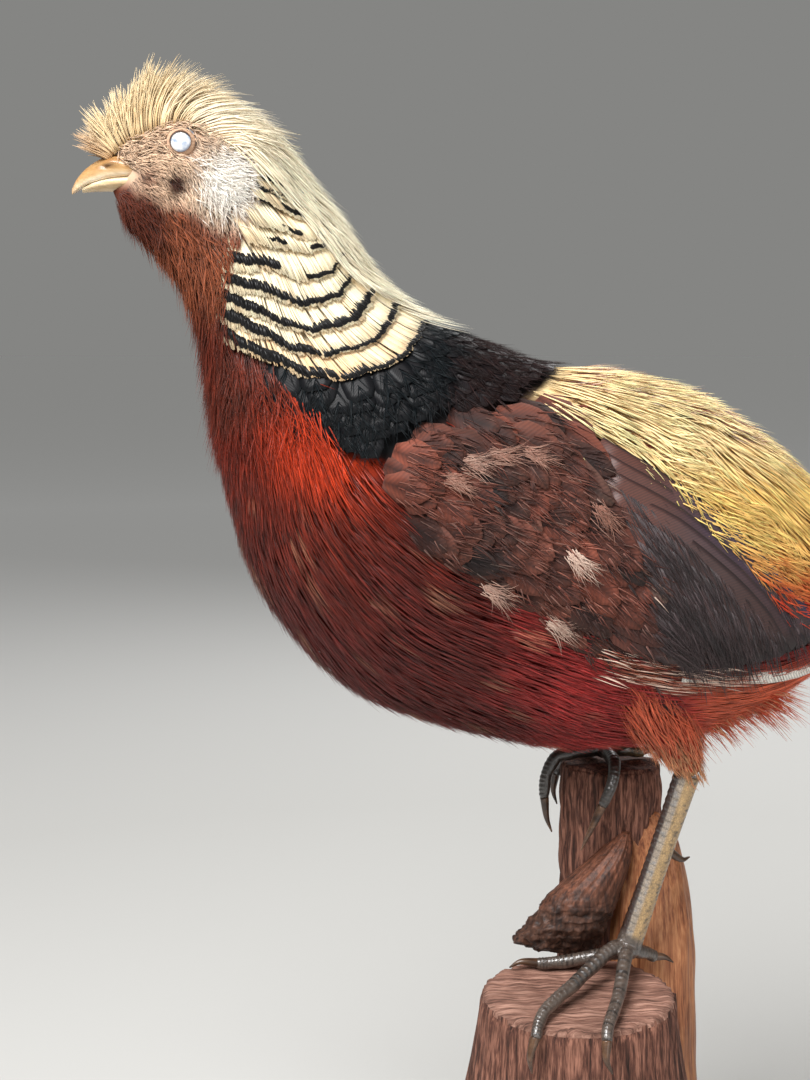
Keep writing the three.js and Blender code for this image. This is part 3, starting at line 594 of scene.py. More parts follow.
@dataclass
class Grower:
    """Scatters roots over a form and combs blades along it."""

    form: Saddle
    rng: np.random.Generator

    def scatter(self, count: int, u_range: tuple[float, float], density: Callable[[Array, Array, Array], Array],
                cells: tuple[int, int] = (160, 144), angle: tuple[float, float] = (-math.pi, math.pi)
                ) -> tuple[Array, Array]:
        """Draws roots evenly by area, thinned by a density.

        Args:
            count: Number of roots.
            u_range: First and last station.
            density: Relative density for points, stations and angles.
            cells: Grid on which the area is measured.
            angle: Range of the angle round the form.

        Returns:
            Stations and angles of the roots.
        """
        nu, na = cells
        du, da = (u_range[1] - u_range[0]) / nu, (angle[1] - angle[0]) / na
        u = u_range[0] + (np.arange(nu) + 0.5) * du
        a = angle[0] + (np.arange(na) + 0.5) * da
        gu, ga = (g.ravel() for g in np.meshgrid(u, a, indexing="ij"))
        p, _, along, round_ = self.form.frame(gu, ga)
        weight = np.linalg.norm(np.cross(along, round_), axis=1) * np.maximum(density(p, gu, ga), 0)
        pick = self.rng.choice(len(gu), count, p=weight / weight.sum())
        jitter = self.rng.uniform(-0.5, 0.5, (2, count))
        return gu[pick] + jitter[0] * du, ga[pick] + jitter[1] * da

    def comb(self, coat: CoatMesh, u: Array, a: Array, style: Comb, colour: Callable[[Array], Array],
             fall: Array | None = None, length: Array | None = None, depth: Array | None = None,
             spread_map: tuple[float, float, float, float] | None = None,
             base: Callable[[Array], Array] = relief, avoid: tuple[Outline, ...] = ()) -> None:
        """Grows one blade at each root, marching along the form.

        Args:
            coat: The mesh that takes the blades.
            u: Stations of the roots.
            a: Angles of the roots.
            style: How the feather grows.
            colour: Colour for the middle of each blade.
            fall: Lie of each blade, degrees, in place of the style's.
            length: Length of each blade, millimetres, in place of the style's.
            depth: Extra height of each blade, metres.
            spread_map: First and last station and angle that fill the bake map.
            base: Relief that the coat stands on.
            avoid: Patches that no blade may end on.
        """
        n, k = len(u), style.rings
        p, _, along, round_ = self.form.frame(u, a)
        locks = wobble(p, style.lock * MM, 2.0) + 0.5 * wobble(p, style.lock * 0.37 * MM, 5.0)
        lie = (style.fall if fall is None else fall) + style.splay * (locks + self.rng.normal(0, 0.45, n))
        reach = (style.length if length is None else length) * MM
        reach = reach * (1 + style.length_spread * self.rng.uniform(-1, 1, n))
        lie = np.radians(lie)
        du = reach * np.cos(lie) / np.linalg.norm(along, axis=1)
        da = reach * np.sin(lie) / np.linalg.norm(round_, axis=1) * np.sign(np.sin(a) + 1e-9)
        t = np.linspace(0, 1, k)[None]
        bend = 1 + style.curl * t
        stand = base(p)
        raised = style.lift * np.abs(self.rng.normal(0, 1, n)) * MM + (0 if depth is None else depth)
        height = (-style.sunk * MM * (1 - t) ** 1.3 + style.proud * MM * t + raised[:, None] * t ** 1.6
                  + stand[:, None])

        def march(some: Array, share: Array) -> tuple[Array, Array]:
            step = t * share[:, None]
            place = (u[some, None] + du[some, None] * step, a[some, None] + da[some, None] * step * bend)
            points, outward, _, _ = self.form.frame(place[0].ravel(), place[1].ravel(), height[some].ravel())
            return points.reshape(-1, k, 3), outward.reshape(-1, k, 3)

        path, normal = march(np.arange(n), np.ones(n))
        eye = over_eye(path)
        hit = np.flatnonzero(eye.any(1))
        if len(hit):
            share = np.maximum(eye[hit].argmax(1) - 0.7, 0.2) / (k - 1)
            path[hit], normal[hit] = march(hit, share)
        clear = ~(over_eye(path).any(1) | over_bill(path))
        for patch in avoid:
            clear &= patch.depth(path[:, -1]) < 1.0 * MM
        taper = np.clip(1 - t ** 2.2 * (1 - style.bluntness), 0.06, 1) * np.clip(0.55 + 1.2 * t, 0, 1)
        width = style.width * MM * (0.8 + 0.4 * self.rng.random(n))[:, None] * taper
        tone = colour(path[:, k // 2]) * (1 + style.shade * self.rng.uniform(-1, 1, n))[:, None]
        tones = tone[:, None, :] * (1 - 0.12 * (1 - t) + style.tip_light * (t - 0.5))[..., None]
        if spread_map is None:
            spread_map = (u.min(), u.max(), a.min(), a.max())
        root = np.stack([0.02 + 0.95 * (u - spread_map[0]) / (spread_map[1] - spread_map[0]),
                         0.02 + 0.95 * (a - spread_map[2]) / (spread_map[3] - spread_map[2])], axis=1)
        tones = np.clip(tones, 0.001, 1)
        coat.blades(path[clear], normal[clear], width[clear], width[clear] * style.ridge, tones[clear], root[clear])


def free_blades(coat: CoatMesh, start: Array, heading: Array, normal: Array, length: Array, width: float,
                colour: Array, root: Array, droop: float, rings: int, rng: np.random.Generator,
                bluntness: float = 0.1) -> None:
    """Adds blades that leave the body and bend under their own weight.

    Args:
        coat: The mesh that takes the blades.
        start: Roots, n, 3.
        heading: Directions at the root, n, 3.
        normal: Outward directions, n, 3.
        length: Lengths in metres, n.
        width: Width in millimetres.
        colour: Colours, n, 3.
        root: Places on the bake map, n, 2.
        droop: Fall at the tip as a share of the length.
        rings: Rings of each blade.
        rng: Source of the spread.
        bluntness: Width at the tip as a share of the width.
    """
    n = len(start)
    t = np.linspace(0, 1, rings)[None, :, None]
    sway = rng.normal(0, 0.06, (n, 1, 3)) * length[:, None, None]
    down = np.array([0, 0, -1.0])[None, None] * droop * length[:, None, None]
    path = start[:, None] + heading[:, None] * length[:, None, None] * t + (down + sway) * t ** 2
    taper = np.clip(1 - t[..., 0] ** 2 * (1 - bluntness), 0.06, 1)
    wide = width * MM * (0.8 + 0.4 * rng.random(n))[:, None] * taper
    shade = colour[:, None, :] * (0.82 + 0.3 * t)
    normals = np.repeat(normal[:, None], rings, axis=1)
    coat.blades(path, normals, wide, wide * 0.35, np.clip(shade, 0.001, 1), root)


# ------------------------------------------------------------------ node trees


class Tree:
    """Writes a node tree: adds nodes by kind and joins their sockets by name."""

    def __init__(self, tree: bpy.types.NodeTree) -> None:
        """Keeps the tree that is written."""
        self.tree = tree

    def add(self, kind: str, inputs: dict | None = None, **settings: object) -> bpy.types.Node:
        """Adds a node.

        Args:
            kind: Node type without the ShaderNode prefix.
            inputs: Values or sockets for its inputs, by name or number.
            settings: Properties of the node.

        Returns:
            The new node.
        """
        node = self.tree.nodes.new("ShaderNode" + kind)
        for key, value in settings.items():
            setattr(node, key, value)
        for key, value in (inputs or {}).items():
            if isinstance(value, bpy.types.NodeSocket):
                self.tree.links.new(value, node.inputs[key])
            else:
                node.inputs[key].default_value = value
        return node

    def maths(self, operation: str, a: object, b: object = 0.0) -> bpy.types.NodeSocket:
        """A clamped-free Math node of two operands."""
        return self.add("Math", {0: a, 1: b}, operation=operation).outputs[0]

    def blend(self, factor: object, a: object, b: object, mode: str = "MIX") -> bpy.types.NodeSocket:
        """A colour mix of a and b."""
        mixer = self.add("Mix", data_type="RGBA", blend_type=mode)
        for key, value in ((0, factor), (6, a), (7, b)):
            if isinstance(value, bpy.types.NodeSocket):
                self.tree.links.new(value, mixer.inputs[key])
            else:
                mixer.inputs[key].default_value = value
        return mixer.outputs[2]

    def ramp(self, value: bpy.types.NodeSocket, stops: list[tuple[float, Rgb]]) -> bpy.types.NodeSocket:
        """A colour ramp with the given stops."""
        node = self.add("ValToRGB", {0: value})
        ramp = node.color_ramp
        while len(ramp.elements) < len(stops):
            ramp.elements.new(0.5)
        for element, (place, colour) in zip(ramp.elements, stops):
            element.position = place
            element.color = (*colour, 1.0)
        return node.outputs[0]


def new_material(name: str, **sockets: object) -> tuple[bpy.types.Material, Tree, bpy.types.Node]:
    """A material with one Principled shader whose plain sockets are set."""
    material = bpy.data.materials.new(name)
    material.use_nodes = True
    tree = Tree(material.node_tree)
    shader = material.node_tree.nodes["Principled BSDF"]
    for key, value in sockets.items():
        shader.inputs[key.replace("_", " ")].default_value = value
    return material, tree, shader


def object_coords(tree: Tree) -> bpy.types.NodeSocket:
    """Object coordinates."""
    return tree.add("TexCoord").outputs["Object"]


class Effects:
    """Shared node groups, each built once."""

    made: dict[str, bpy.types.NodeTree] = {}

    @classmethod
    def group(cls, name: str, inputs: dict[str, tuple[str, object]], outputs: dict[str, str],
              write: Callable[[Tree, bpy.types.Node, bpy.types.Node], None]) -> bpy.types.NodeTree:
        """Returns a shared group, building it the first time.

        Args:
            name: Group name.
            inputs: Socket name to kind and default.
            outputs: Socket name to kind.
            write: Fills the group.

        Returns:
            The group's tree.
        """
        if name not in cls.made:
            tree = bpy.data.node_groups.new(name, "ShaderNodeTree")
            for label, (kind, default) in inputs.items():
                item = tree.interface.new_socket(name=label, in_out="INPUT", socket_type="NodeSocket" + kind)
                if default is not None:
                    item.default_value = default
            for label, kind in outputs.items():
                tree.interface.new_socket(name=label, in_out="OUTPUT", socket_type="NodeSocket" + kind)
            pen = Tree(tree)
            source = tree.nodes.new("NodeGroupInput")
            sink = tree.nodes.new("NodeGroupOutput")
            write(pen, source, sink)
            cls.made[name] = tree
        return cls.made[name]

    @staticmethod
    def use(tree: Tree, group: bpy.types.NodeTree, inputs: dict) -> bpy.types.Node:
        """Places a group in a material with its own values.

        Args:
            tree: The material's tree.
            group: The shared group.
            inputs: Values or sockets by input name.

        Returns:
            The group node.
        """
        node = tree.tree.nodes.new("ShaderNodeGroup")
        node.node_tree = group
        for key, value in inputs.items():
            if isinstance(value, bpy.types.NodeSocket):
                tree.tree.links.new(value, node.inputs[key])
            else:
                node.inputs[key].default_value = value
        return node


def variation_group() -> bpy.types.NodeTree:
    """Group that varies a colour in brightness by two sizes of noise."""

    def write(pen: Tree, source: bpy.types.Node, sink: bpy.types.Node) -> None:
        coarse = pen.add("TexNoise", {"Vector": source.outputs["Vector"], "Scale": source.outputs["Scale"],
                                      "Detail": 3.0})
        fine_scale = pen.maths("MULTIPLY", source.outputs["Scale"], 6.0)
        fine = pen.add("TexNoise", {"Vector": source.outputs["Vector"], "Scale": fine_scale, "Detail": 2.0})
        both = pen.maths("ADD", coarse.outputs[0], pen.maths("MULTIPLY", fine.outputs[0], 0.5))
        centred = pen.maths("SUBTRACT", both, 0.75)
        gain = pen.maths("MULTIPLY", centred, source.outputs["Amount"])
        value = pen.maths("ADD", gain, 1.0)
        hue = pen.add("HueSaturation", {"Color": source.outputs["Color"], "Value": value})
        pen.tree.links.new(hue.outputs[0], sink.inputs["Color"])
        pen.tree.links.new(fine.outputs[0], sink.inputs["Grain"])

    return Effects.group("colour_variation",
                         {"Color": ("Color", None), "Vector": ("Vector", None), "Scale": ("Float", 60.0),
                          "Amount": ("Float", 0.5)},
                         {"Color": "Color", "Grain": "Float"}, write)


def grain_group() -> bpy.types.NodeTree:
    """Group that draws long wood or horn fibres along one axis of a stretched vector."""

    def write(pen: Tree, source: bpy.types.Node, sink: bpy.types.Node) -> None:
        noise = pen.add("TexNoise", {"Vector": source.outputs["Vector"], "Scale": source.outputs["Scale"],
                                     "Detail": 6.0, "Roughness": 0.62, "Distortion": 0.25})
        streak = pen.add("TexNoise", {"Vector": source.outputs["Vector"],
                                      "Scale": pen.maths("MULTIPLY", source.outputs["Scale"], 3.4),
                                      "Detail": 3.0})
        both = pen.maths("ADD", pen.maths("MULTIPLY", noise.outputs[0], 0.65),
                         pen.maths("MULTIPLY", streak.outputs[0], 0.35))
        pen.tree.links.new(both, sink.inputs["Fibre"])
        sharp = pen.add("MapRange", {0: both, 1: 0.46, 2: 0.36, 3: 0.0, 4: 1.0})
        pen.tree.links.new(sharp.outputs[0], sink.inputs["Crack"])

    return Effects.group("long_grain", {"Vector": ("Vector", None), "Scale": ("Float", 20.0)},
                         {"Fibre": "Float", "Crack": "Float"}, write)


def stretched(tree: Tree, scale: tuple[float, float, float],
              turn: tuple[float, float, float] = (0, 0, 0)) -> bpy.types.NodeSocket:
    """Object coordinates scaled along each axis, so that a pattern runs long."""
    return tree.add("Mapping", {"Vector": object_coords(tree), "Scale": scale, "Rotation": turn}).outputs[0]


def bump(tree: Tree, shader: bpy.types.Node, height: bpy.types.NodeSocket, strength: float,
         distance: float) -> None:
    """Joins a height to the shader through a Bump node."""
    node = tree.add("Bump", {"Height": height, "Strength": strength, "Distance": distance})
    tree.tree.links.new(node.outputs[0], shader.inputs["Normal"])


# ------------------------------------------------------------------ finishes


@dataclass(frozen=True)
class Plumage:
    """Feather finish: painted colour, fine variation and a soft sheen."""

    name: str
    roughness: float = 0.5
    sheen: float = 0.25
    specular: float = 0.35
    vary: float = 0.5
    coat: float = 0.0

    def material(self) -> bpy.types.Material:
        """Builds the material."""
        material, tree, shader = new_material(self.name, Roughness=self.roughness, Sheen_Weight=self.sheen,
                                              Specular_IOR_Level=self.specular, Coat_Weight=self.coat,
                                              Sheen_Roughness=0.4)
        paint = tree.add("Attribute", attribute_name=COLOUR, attribute_type="GEOMETRY")
        varied = Effects.use(tree, variation_group(), {"Color": paint.outputs["Color"],
                                                       "Vector": object_coords(tree), "Scale": 55.0,
                                                       "Amount": self.vary})
        tree.tree.links.new(varied.outputs["Color"], shader.inputs["Base Color"])
        bump(tree, shader, varied.outputs["Grain"], 0.25, 0.0004)
        return material


@dataclass(frozen=True)
class Vane:
    """Large flight and tail feathers: painted colour with fine slanting barbs from the vane map."""

    name: str
    roughness: float = 0.5
    barbs: float = 5200.0
    spots: bool = False
    bars: bool = False
    sheen: float = 0.05
    specular: float = 0.35
    furrow: float = 0.12
    rib: float = 0.25

    def material(self) -> bpy.types.Material:
        """Builds the material."""
        material, tree, shader = new_material(self.name, Roughness=self.roughness, Sheen_Weight=self.sheen,
                                              Specular_IOR_Level=self.specular)
        place = tree.add("UVMap", uv_map=VANE_MAP).outputs[0]
        split = tree.add("SeparateXYZ", {0: place})
        across = tree.maths("ABSOLUTE", split.outputs[0])
        slant = tree.maths("SUBTRACT", split.outputs[1], tree.maths("MULTIPLY", across, 0.7))
        line = tree.maths("SINE", tree.maths("MULTIPLY", slant, self.barbs))
        paint = tree.add("Attribute", attribute_name=COLOUR, attribute_type="GEOMETRY").outputs["Color"]
        if self.spots or self.bars:
            paint = self._pattern(tree, place, slant, paint)
        varied = Effects.use(tree, variation_group(), {"Color": paint, "Vector": object_coords(tree),
                                                       "Scale": 70.0, "Amount": 0.55})
        gap = tree.maths("MULTIPLY", tree.maths("ADD", line, 1.0), self.furrow)
        dark = tree.blend(gap, varied.outputs["Color"], (0.01, 0.008, 0.01, 1))
        tree.tree.links.new(dark, shader.inputs["Base Color"])
        bump(tree, shader, line, self.rib, 0.0001)
        return material

    def _pattern(self, tree: Tree, place: bpy.types.NodeSocket, slant: bpy.types.NodeSocket,
                 paint: bpy.types.NodeSocket) -> bpy.types.NodeSocket:
        """Cinnamon spots or slanting bars over the dark ground."""
        spread = tree.add("VectorMath", {0: place, 1: (9.0, 9.0, 1.0)}, operation="MULTIPLY").outputs[0]
        if self.spots:
            cells = tree.add("TexVoronoi", {"Vector": spread, "Scale": 26.0, "Randomness": 0.75})
            mask = tree.add("MapRange", {0: cells.outputs["Distance"], 1: 0.42, 2: 0.30, 3: 0.0, 4: 1.0})
        else:
            jag = tree.add("TexNoise", {"Vector": spread, "Scale": 9.0, "Detail": 3.0}).outputs[0]
            wave = tree.maths("SINE", tree.maths("ADD", tree.maths("MULTIPLY", slant, 520.0),
                                                 tree.maths("MULTIPLY", jag, 9.0)))
            mask = tree.add("MapRange", {0: wave, 1: -0.1, 2: 0.5, 3: 0.0, 4: 1.0})
        return tree.blend(mask.outputs[0], paint, (*Tint.TAIL_SPOT, 1))


@dataclass(frozen=True)
class Horn:
    """Bill, claw and spur: layered horn, streaked along its length."""

    name: str
    light: str
    dark: str
    roughness: float = 0.32
    along: tuple[float, float, float] = (12.0, 60.0, 60.0)

    def material(self) -> bpy.types.Material:
        """Builds the material."""
        material, tree, shader = new_material(self.name, Roughness=self.roughness, Coat_Weight=0.15,
                                              Subsurface_Weight=0.08, Specular_IOR_Level=0.5)
        shader.inputs["Subsurface Radius"].default_value = (0.004, 0.002, 0.001)
        grain = Effects.use(tree, grain_group(), {"Vector": stretched(tree, self.along), "Scale": 6.0})
        paint = tree.add("Attribute", attribute_name=COLOUR, attribute_type="GEOMETRY").outputs["Color"]
        tone = tree.ramp(grain.outputs["Fibre"], [(0.35, srgb(self.dark)), (0.6, srgb(self.light))])
        both = tree.blend(1.0, tone, paint, "MULTIPLY")
        tree.tree.links.new(both, shader.inputs["Base Color"])
        bump(tree, shader, grain.outputs["Fibre"], 0.3, 0.0004)
        return material


@dataclass(frozen=True)
class Scales:
    """Scaly leg skin: painted colour broken into small polygons with dark seams."""

    name: str

    def material(self) -> bpy.types.Material:
        """Builds the material."""
        material, tree, shader = new_material(self.name, Roughness=0.28, Specular_IOR_Level=0.6,
                                              Coat_Weight=0.8, Coat_Roughness=0.12)
        coords = stretched(tree, (1.0, 1.0, 0.8))
        cells = tree.add("TexVoronoi", {"Vector": coords, "Scale": 1150.0}, feature="DISTANCE_TO_EDGE")
        seam = tree.add("MapRange", {0: cells.outputs["Distance"], 1: 0.0, 2: 0.14, 3: 0.0, 4: 1.0})
        paint = tree.add("Attribute", attribute_name=COLOUR, attribute_type="GEOMETRY")
        varied = Effects.use(tree, variation_group(), {"Color": paint.outputs["Color"], "Vector": coords,
                                                       "Scale": 300.0, "Amount": 0.9})
        dirt = tree.blend(tree.maths("MULTIPLY", tree.maths("SUBTRACT", 1.0, seam.outputs[0]), 0.4),
                          varied.outputs["Color"], (0.02, 0.013, 0.009, 1))
        tree.tree.links.new(dirt, shader.inputs["Base Color"])
        bump(tree, shader, seam.outputs[0], 0.3, 0.0003)
        return material


@dataclass(frozen=True)
class Glass:
    """Milky glass eye: pearl white with bluish grey patches under a clear surface."""

    name: str

    def material(self) -> bpy.types.Material:
        """Builds the material."""
        material, tree, shader = new_material(self.name, Roughness=0.06, Coat_Weight=1.0,
                                              Coat_Roughness=0.02, Specular_IOR_Level=0.6)
        coords = object_coords(tree)
        cloud = tree.add("TexNoise", {"Vector": coords, "Scale": 260.0, "Detail": 2.0})
        cell = tree.add("TexVoronoi", {"Vector": coords, "Scale": 330.0, "Randomness": 0.9})
        patch = tree.maths("ADD", cloud.outputs[0], tree.maths("MULTIPLY", cell.outputs["Distance"], 0.22))
        tone = tree.ramp(patch, [(0.46, srgb("7f90ad")), (0.56, srgb("c3ccda")), (0.66, srgb("f1efea"))])
        tree.tree.links.new(tone, shader.inputs["Base Color"])
        return material


@dataclass(frozen=True)
class Timber:
    """Timber finish: long grain in three tones with cracks or saw marks."""

    name: str
    tones: tuple[str, str, str]
    stretch: tuple[float, float, float]
    roughness: float
    depth: float
    crack: float = 0.6

    def material(self) -> bpy.types.Material:
        """Builds the material."""
        material, tree, shader = new_material(self.name, Roughness=self.roughness, Specular_IOR_Level=0.3)
        grain = Effects.use(tree, grain_group(), {"Vector": stretched(tree, self.stretch), "Scale": 5.0})
        dark, middle, light = (srgb(t) for t in self.tones)
        tone = tree.ramp(grain.outputs["Fibre"], [(0.34, dark), (0.48, middle), (0.62, light)])
        paint = tree.add("Attribute", attribute_name=COLOUR, attribute_type="GEOMETRY").outputs["Color"]
        worn = tree.blend(1.0, tone, paint, "MULTIPLY")
        varied = Effects.use(tree, variation_group(), {"Color": worn, "Vector": object_coords(tree),
                                                       "Scale": 34.0, "Amount": 0.8})
        cracks = tree.maths("MULTIPLY", grain.outputs["Crack"], self.crack)
        final = tree.blend(cracks, varied.outputs["Color"], (0.02, 0.01, 0.008, 1))
        tree.tree.links.new(final, shader.inputs["Base Color"])
        bump(tree, shader, grain.outputs["Fibre"], 0.8, self.depth)
        return material


# ------------------------------------------------------------------ bmesh helpers


def finish_mesh(bm: bmesh.types.BMesh, name: str, materials: list[bpy.types.Material],
                colour: Callable[[Array], Array] | None = None, merge: float = 1e-6) -> bpy.types.Object:
    """Merges doubles, turns faces outwards and makes the object.

    Args:
        bm: The finished bmesh, which is freed.
        name: Object name.
        materials: Material slots.
        colour: Colour for points, or None for white.
        merge: Distance at which points merge.

    Returns:
        The new object, linked to the scene.
    """
    bmesh.ops.remove_doubles(bm, verts=bm.verts, dist=merge)
    bmesh.ops.recalc_face_normals(bm, faces=bm.faces)
    for face in bm.faces:
        face.smooth = True
    mesh = bpy.data.meshes.new(name)
    bm.to_mesh(mesh)
    bm.free()
    points = np.empty(len(mesh.vertices) * 3, np.float32)
    mesh.vertices.foreach_get("co", points)
    rgba = np.ones((len(mesh.vertices), 4), np.float32)
    if colour is not None:
        rgba[:, :3] = np.clip(colour(points.reshape(-1, 3).astype(float)), 0.001, 1)
    paint = mesh.color_attributes.new(COLOUR, "FLOAT_COLOR", "POINT")
    paint.data.foreach_set("color", rgba.ravel())
    for material in materials:
        mesh.materials.append(material)
    obj = bpy.data.objects.new(name, mesh)
    bpy.context.scene.collection.objects.link(obj)
    return obj


def sleeve(bm: bmesh.types.BMesh, sides: int, rings: int, place: Callable[[Array, Array], Array],
           material: int = 0) -> list[bmesh.types.BMVert]:
    """Rolls a grid into a closed tube with both ends filled.

    Args:
        bm: The bmesh that takes the tube.
        sides: Faces round the tube.
        rings: Faces along it.
        place: Points for turns (0 to 1) and rises (0 to 1).
        material: Material number of the new faces.

    Returns:
        The tube's vertices.
    """
    grid = bmesh.ops.create_grid(bm, x_segments=sides, y_segments=rings, size=1.0)
    verts = grid["verts"]
    flat = np.array([(v.co.x, v.co.y) for v in verts]) * 0.5 + 0.5
    turn = np.where(flat[:, 0] > 1 - 1e-6, 0.0, flat[:, 0])
    rise = np.clip(flat[:, 1], 0, 1)
    for vert, point in zip(verts, place(turn, rise)):
        vert.co = point
    for face in {f for v in verts for f in v.link_faces}:
        face.material_index = material
    bmesh.ops.remove_doubles(bm, verts=verts, dist=1e-7)
    kept = [v for v in verts if v.is_valid]
    rims = {e for v in kept for e in v.link_edges if e.is_boundary}
    filled = bmesh.ops.holes_fill(bm, edges=list(rims), sides=0)
    for face in filled["faces"]:
        face.material_index = material
    return kept


def along_path(points_mm: tuple[tuple[float, ...], ...], radius: Callable[[Array, Array], Array],
               up: tuple[float, float, float] = (0, 0, 1)) -> Callable[[Array, Array], Array]:
    """A place function for a tube that follows a smooth path.

    Args:
        points_mm: Points of the path.
        radius: Radius in metres for turns and rises.
        up: Direction that stays at turn 0.25.

    Returns:
        A function for sleeve.
    """
    knots = np.array([p[:3] for p in points_mm], float) * MM
    steps = 80
    table = np.linspace(0, len(knots) - 1, steps + 1)
    ahead = unit(spline(knots, table + 1e-3) - spline(knots, table - 1e-3))
    sideways = [unit(np.cross(np.array(up, float), ahead[0]))]
    for now in ahead[1:]:
        sideways.append(unit(sideways[-1] - now * (sideways[-1] @ now)))
    sideways = np.array(sideways)

    def place(turn: Array, rise: Array) -> Array:
        slot = rise * steps
        i = np.clip(slot.astype(int), 0, steps - 1)
        part = (slot - i)[:, None]
        along = unit(ahead[i] * (1 - part) + ahead[i + 1] * part)
        level = unit(sideways[i] * (1 - part) + sideways[i + 1] * part)
        across = np.cross(along, level)
        angle = turn * 2 * math.pi
        r = radius(turn, rise)[:, None]
        centre = spline(knots, rise * (len(knots) - 1))
        return centre + level * np.cos(angle)[:, None] * r + across * np.sin(angle)[:, None] * r

    return place


@dataclass(frozen=True)
class Tube:
    """A round form along a smooth path, with the same stations and angles as a saddle.

    Each row is x, y, z and radius in millimetres.
    """

    rows_mm: tuple[tuple[float, ...], ...]

    def surface(self, u: Array, angle: Array, depth: Array | float = 0.0) -> Array:
        """Points on the form, pushed out by depth metres."""
        rows = np.array(self.rows_mm) * MM
        row = spline(rows, np.asarray(u, float))
        ahead = unit(spline(rows, u + 1e-3)[:, :3] - spline(rows, u - 1e-3)[:, :3])
        sideways = unit(np.cross(np.array([[1.0, 0.0, 0.0]]), ahead))
        across = np.cross(ahead, sideways)
        reach = (row[:, 3] + depth)[:, None]
        return row[:, :3] + (sideways * np.cos(angle)[:, None] + across * np.sin(angle)[:, None]) * reach

    def frame(self, u: Array, angle: Array, depth: Array | float = 0.0) -> tuple[Array, ...]:
        """Point, outward normal and the two derivatives at places on the form."""
        here, normal, along, round_ = Saddle.frame(self, u, angle, depth)
        middle = spline(np.array(self.rows_mm) * MM, np.asarray(u, float))[:, :3]
        flip = np.sign(((here - middle) * normal).sum(1, keepdims=True) + 1e-12)
        return here, normal * flip, along, round_


# ------------------------------------------------------------------ skin


LEG_SKIN = srgb("b08f5e")
LEG_WHITE = srgb("8a8580")
LEG_DARK = srgb("30241e")
LEG_FRONT = srgb("33201a")
LEG_TOE = srgb("574c44")
LEG_GROOVE = srgb("1c1613")
THIGHS = {
    Side.LEFT: Tube(((8, -22, 303, 21), (24, -21, 281, 17), (36, -19, 262, 10.5), (42.5, -17.2, 249.5, 5))),
    Side.RIGHT: Tube(((22, 26, 312, 17), (44, 30, 302, 15), (66, 31, 291, 9.5), (83.5, 29.2, 282.8, 4.8))),
}
TARSI = {Side.LEFT: ((41, -17, 248), (20, -16, 180)), Side.RIGHT: ((82, 29, 282), (14, 20, 249.5))}
TOES = {
    Side.LEFT: (
        ((20, -16, 180), (9.5, -13, 176), (-6, -12, 172.9), (-15.5, -12, 172.3)),
        ((20, -16, 180), (13, -20, 181), (-2, -33, 173), (-14.5, -46, 167.2), (-18.5, -54.5, 160)),
        ((20, -16, 180), (18, -23, 179), (13.5, -39, 170.5), (8, -54, 165.2), (7, -58.5, 160.5)),
        ((20, -16, 180), (27, -11, 176.5), (32, -9.6, 174)),
    ),
    Side.RIGHT: (
        ((14, 20, 249.5), (15, 11, 248.8), (16, 1.5, 247.6), (14.5, -3.2, 240.5), (10.5, -4, 231)),
        ((14, 20, 249.5), (3, 19, 247.8), (-5, 18.2, 245.8), (-9.3, 17.6, 237.5), (-9.8, 17, 228.5)),
        ((14, 20, 249.5), (9, 30, 247.8), (4, 39, 246.2), (0, 43.8, 239), (-2.5, 44.6, 231)),
        ((14, 20, 249.5), (24, 22, 247.6), (31, 22.5, 247)),
    ),
}
CLAWS = {
    Side.LEFT: {
        "inner": ((-14.5, -12, 172.3), (-20.5, -12.5, 173), (-25, -13, 171)),
        "middle": ((-18.3, -54.0, 161), (-20.2, -56.5, 154.5), (-19.4, -56.2, 148.5)),
        "outer": ((7, -58.2, 161.5), (6.6, -61, 156), (8.8, -61, 150.5)),
        "hind": ((31, -9.6, 174), (35.2, -9.4, 173.6), (38.5, -9.4, 171.6)),
        "spur": ((35, -13.5, 217), (40.5, -10.5, 213), (44, -9, 213.5)),
    },
    Side.RIGHT: {
        "inner": ((10.9, -4, 232), (6.5, -4.4, 222.5), (3, -3.6, 214.5)),
        "middle": ((-9.8, 17, 229.5), (-8.8, 16.8, 221.5), (-6.6, 16.6, 215.5)),
        "outer": ((-2.4, 44.6, 232), (-3.4, 44.8, 224.5), (-2, 44, 219)),
        "hind": ((30, 22.5, 247), (35, 22.8, 247.8), (40.2, 23, 245.6)),
        "spur": ((50, 24, 263.5), (54, 20, 261), (57.5, 17.5, 261)),
    },
}


@dataclass(frozen=True)
class SkinSizes:
    """Resolution of the skin and sizes of the legs, millimetres."""

    sides: int = 120
    rings: int = 170
    tarsus_deep: float = 4.5
    tarsus_thick: float = 3.5
    toe_root: float = 2.9
    toe_tip: float = 1.95
    pad_radius: float = 4.6
    scute: float = 3.1
    toe_scute: float = 1.7
    scute_step: float = 0.42
    voxel: float = 0.42


